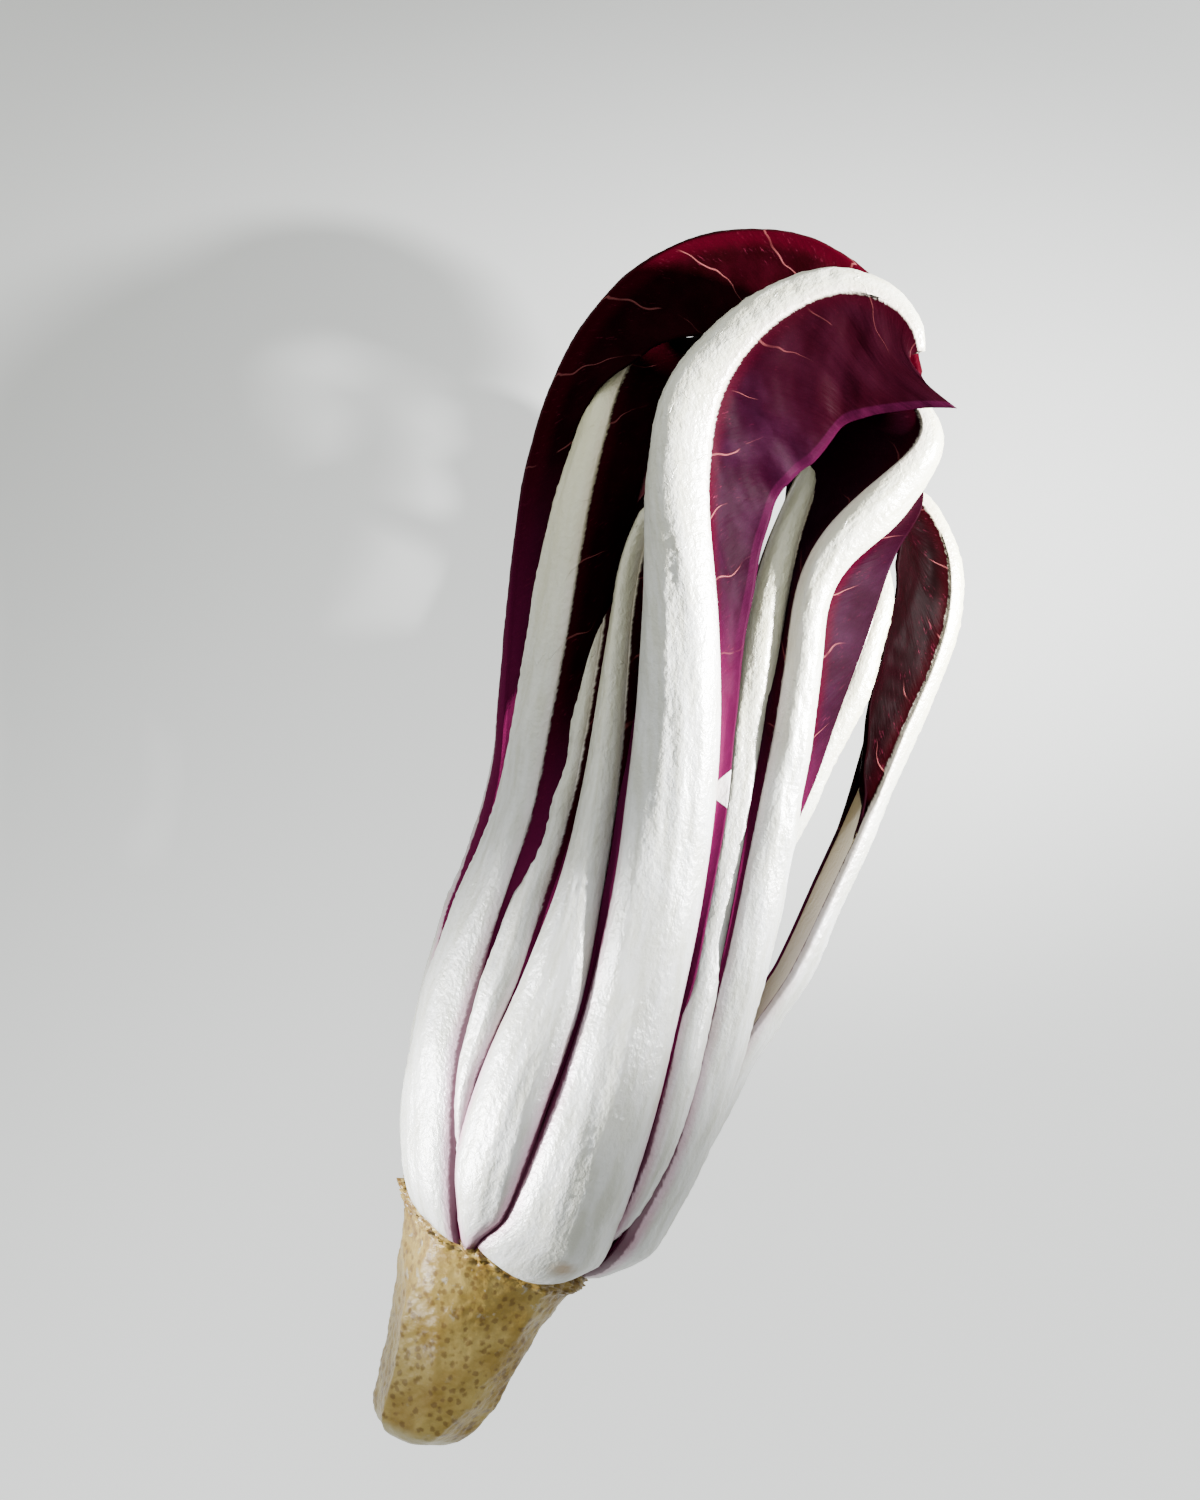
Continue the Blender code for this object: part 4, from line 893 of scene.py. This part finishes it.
def root_object(material):
    """The pared root: knife facets that run along it, between a rough crown and a cut end."""
    rng = np.random.default_rng(5)
    profile = np.array(ROOT_PROFILE)
    ys = np.linspace(profile[0, 0], profile[-1, 0], ROOT_CELLS[0])
    turns = np.linspace(0, 2 * math.pi, ROOT_CELLS[1], endpoint=False)
    grid_y, grid_a = np.meshgrid(ys, turns, indexing="ij")
    middle_x, rx, rz = [np.interp(grid_y, profile[:, 0], column) for column in profile.T[1:]]
    rx = rx * ROOT_WIDEN
    # Each knife stroke is a plane at a distance from the root's line, and the deepest one counts.
    cut = np.full(grid_y.shape, NO_CUT)
    for k in range(KNIFE_STROKES):
        angle = 2 * math.pi * (k * GOLDEN_TURN % 1)
        middle = rng.uniform(-34, -4)
        reach = rng.uniform(8, 16)
        lean = rng.uniform(-0.012, 0.012)
        away = grid_y - middle
        depth = rng.uniform(0.945, 0.99) + lean * away + 0.0011 * (np.abs(away) / reach * 4) ** 2
        facing = np.cos(grid_a - angle)
        plane = np.where(facing > LEAST_FACING, depth / np.maximum(facing, LEAST_FACING), NO_CUT)
        cut = np.minimum(cut, plane)
    scale = 1 - (1 - np.minimum(1.0, cut)) * (1 - fade(grid_y, -5.0, -2.0))
    x = rx * scale * np.sin(grid_a)
    z = rz * scale * np.cos(grid_a)
    skin = fade(grid_y, -6.0, -3.0) * (1 - fade(grid_y, -1.0, 1.0))
    rough = 0.22 * waves(rng, 2.2, 26, x, z, grid_y) + 0.16 * waves(rng, 1.0, 26, x, z, grid_y)
    fine = 0.05 * waves(rng, 1.6, 26, x, z, grid_y) + 0.12 * waves(rng, 7.0, 16, x, z, grid_y)
    grow = 1 + (rough * skin * 2.0 + fine) / np.maximum(np.hypot(x, z), 3.0)
    x, z = x * grow, z * grow
    points = crown_slant(np.stack([x + middle_x, grid_y, z + STEM_HEIGHT], axis=-1)).reshape(-1, 3)
    rows, columns = grid_y.shape
    grid = np.arange(rows * columns).reshape(rows, columns)
    after = np.roll(grid, -1, axis=1)
    faces = np.stack([grid[:-1], after[:-1], after[1:], grid[1:]], axis=-1).reshape(-1, 4)
    start, end = len(points), len(points) + 1
    points = np.vstack([points, points[:columns].mean(axis=0), points[-columns:].mean(axis=0)])
    first = np.stack([np.full(columns, start), after[0], grid[0]], axis=-1)
    last = np.stack([np.full(columns, end), grid[-1], after[-1]], axis=-1)
    triangles = np.concatenate([first, last])
    return mesh_object("root", (points + SHIFT) * MM, [faces, triangles], [material])


TAN = (0.185, 0.117, 0.020)
KHAKI = (0.28, 0.205, 0.058)
ROOT_WHITE = (0.27, 0.245, 0.185)
SPECK = (0.075, 0.033, 0.005)
CROWN_SKIN = (0.085, 0.040, 0.010)
CUT_END = (0.34, 0.30, 0.16)


def root_material():
    """Pared root: tan and khaki with white patches and round brown specks, brown skin at the crown."""
    n = Nodes(bpy.data.materials.new("root_skin"))
    scaled = n.node("VectorMath", {"operation": "SCALE"}, Scale=1 / MM)
    n.plug(scaled.inputs[0], n.new("TexCoord").outputs["Object"])
    place = scaled.outputs[0]
    y = n.split(place)[1]
    broad = n.noise(place, 0.16, 3.0, 0.55)
    colour = n.mix(n.step(broad, 0.32, 0.7), TAN, KHAKI)
    white = n.step(n.noise(place, 0.34, 4.0, 0.6), 0.61, 0.67)
    white = n.times(white, n.line(n.step(y, -92.0, -78.0), 0.7, 0.15))
    colour = n.mix(white, colour, ROOT_WHITE)
    cells = n.node("TexVoronoi", Vector=place, Scale=0.62).outputs["Distance"]
    specks = n.step(n.line(n.noise(place, 0.9, 3.0, 0.6), 0.8, cells), 0.85, 0.6)
    colour = n.mix(n.times(specks, 0.6), colour, SPECK)
    skin = n.times(n.step(y, -81.0, -73.0), n.step(n.noise(place, 0.5, 4.0, 0.65), 0.40, 0.62))
    colour = n.mix(n.times(skin, 0.75), colour, CROWN_SKIN)
    colour = n.mix(n.times(n.step(y, -107.5, -109.6), 0.7), colour, CUT_END)
    bump = n.node("Bump", Strength=0.4, Distance=0.0004, Height=n.noise(place, 1.4, 4.0, 0.6))
    return n.surface(Base_Color=colour, Normal=bump.outputs[0], Roughness=0.36, Specular_IOR_Level=0.3)


for leaf in LEAVES:
    look = SKINS.get(leaf.name, DARK)
    rib_gloss = BLADE_GLOSS if "spread" in look else RIB_GLOSS
    skins = [
        leaf_material(leaf.name + "_rib_skin", leaf.seed, rib_gloss, **look),
        leaf_material(leaf.name + "_blade_skin", leaf.seed, BLADE_GLOSS, **look),
    ]
    piece = leaf.build(skins)
    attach(piece, "root")
    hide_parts(leaf.name + "_rib", leaf.name + "_blade")

root = root_object(root_material())
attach(root, "root")
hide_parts("root_stump")


# The floor has painted shade at the upper left and painted light at the lower right, in its colour and in a
# glow.
# FLOOR_TURN is where along the slope one turns into the other, and the pairs are the surface's colour and
# glow in each.
FLOOR_SLOPE = (0.85, -0.5)
FLOOR_TURN = (-0.19, 0.05)
FLOOR_COLOURS = ((0.045, 0.046, 0.045), (0.13, 0.132, 0.13))
FLOOR_GLOWS = ((0.49, 0.50, 0.475), (1.36, 1.39, 1.37))
FLOOR_SIZE = 4.0
FLOOR_DROP = 0.0002


def floor_material():
    """A matt surface that glows, with painted shade at the upper left turning slowly into painted light at
    the lower right.
    """
    n = Nodes(bpy.data.materials.new("floor"))
    across, along, _ = n.split(n.new("TexCoord").outputs["Object"])
    light = n.step(n.line(across, FLOOR_SLOPE[0], n.times(along, FLOOR_SLOPE[1])), *FLOOR_TURN)
    return n.surface(Base_Color=n.mix(light, *FLOOR_COLOURS), Roughness=0.6,
                     Emission_Color=n.mix(light, *FLOOR_GLOWS), Emission_Strength=1.0)


bpy.ops.mesh.primitive_plane_add(size=FLOOR_SIZE, location=(0, 0, -FLOOR_DROP))
floor = bpy.context.object
floor.name = "floor"
floor.data.materials.append(floor_material())

# The sky is brightest toward BRIGHT_SIDE. Its level runs through SKY_LEVELS as the dot product of a
# direction with that one runs through SKY_DOTS.
BRIGHT_SIDE = (-0.42, 0.80, 0.30)
SKY_TINT = (0.92, 0.95, 0.93, 1.0)
SKY_DOTS = (-0.6, 0.9)
SKY_LEVELS = (0.3, 2.3)

scene = bpy.context.scene
scene.world = bpy.data.worlds.new("studio")
n = Nodes(scene.world)
toward = n.node("VectorMath", {"operation": "DOT_PRODUCT"})
n.filled(toward, (n.new("TexCoord").outputs["Generated"], BRIGHT_SIDE))
level = n.filled(n.new("MapRange"), (toward.outputs["Value"], *SKY_DOTS, *SKY_LEVELS))
sky = n.node("Background", Color=SKY_TINT, Strength=level)
n.plug(n.new("OutputWorld").inputs[0], sky.outputs[0])

# Two spot lights: place, target, power, width of the cone in degrees, softness of its edge, and radius. The
# window is high on the right, and the lamp is low on the left.
LIGHTS = {
    "window": ((0.78, 0.26, 0.40), (0.0, 0.066, 0.03), 760.0, 11.5, 0.6, 0.04),
    "lamp": ((-0.54, -0.24, 0.20), (0.005, -0.044, 0.045), 160.0, 7.5, 1.0, 0.02),
}
for name, (place, target, power, cone, softness, radius) in LIGHTS.items():
    light = bpy.data.lights.new(name, "SPOT")
    light.energy = power
    light.spot_size = math.radians(cone)
    light.spot_blend = softness
    light.shadow_soft_size = radius
    obj = bpy.data.objects.new(name, light)
    obj.location = place
    obj.rotation_euler = (Vector(target) - Vector(place)).to_track_quat("-Z", "Y").to_euler()
    scene.collection.objects.link(obj)

# The camera looks straight down, and IMAGE_UP is the direction that is up in the image.
CAMERA_AT = (np.array([-7.8, 85.9, 550.0]) + SHIFT) * MM
IMAGE_UP = Vector((-0.292, 0.956, 0.0)).normalized()
LENS = 70.9
SENSOR_WIDTH = 36.0
camera_data = bpy.data.cameras.new("camera")
camera_data.lens = LENS
camera_data.sensor_width = SENSOR_WIDTH
camera = bpy.data.objects.new("camera", camera_data)
down = Vector((0, 0, -1))
turn = Matrix((down.cross(IMAGE_UP), IMAGE_UP, -down)).transposed().to_4x4()
turn.translation = Vector(CAMERA_AT)
camera.matrix_world = turn
scene.collection.objects.link(camera)
scene.camera = camera
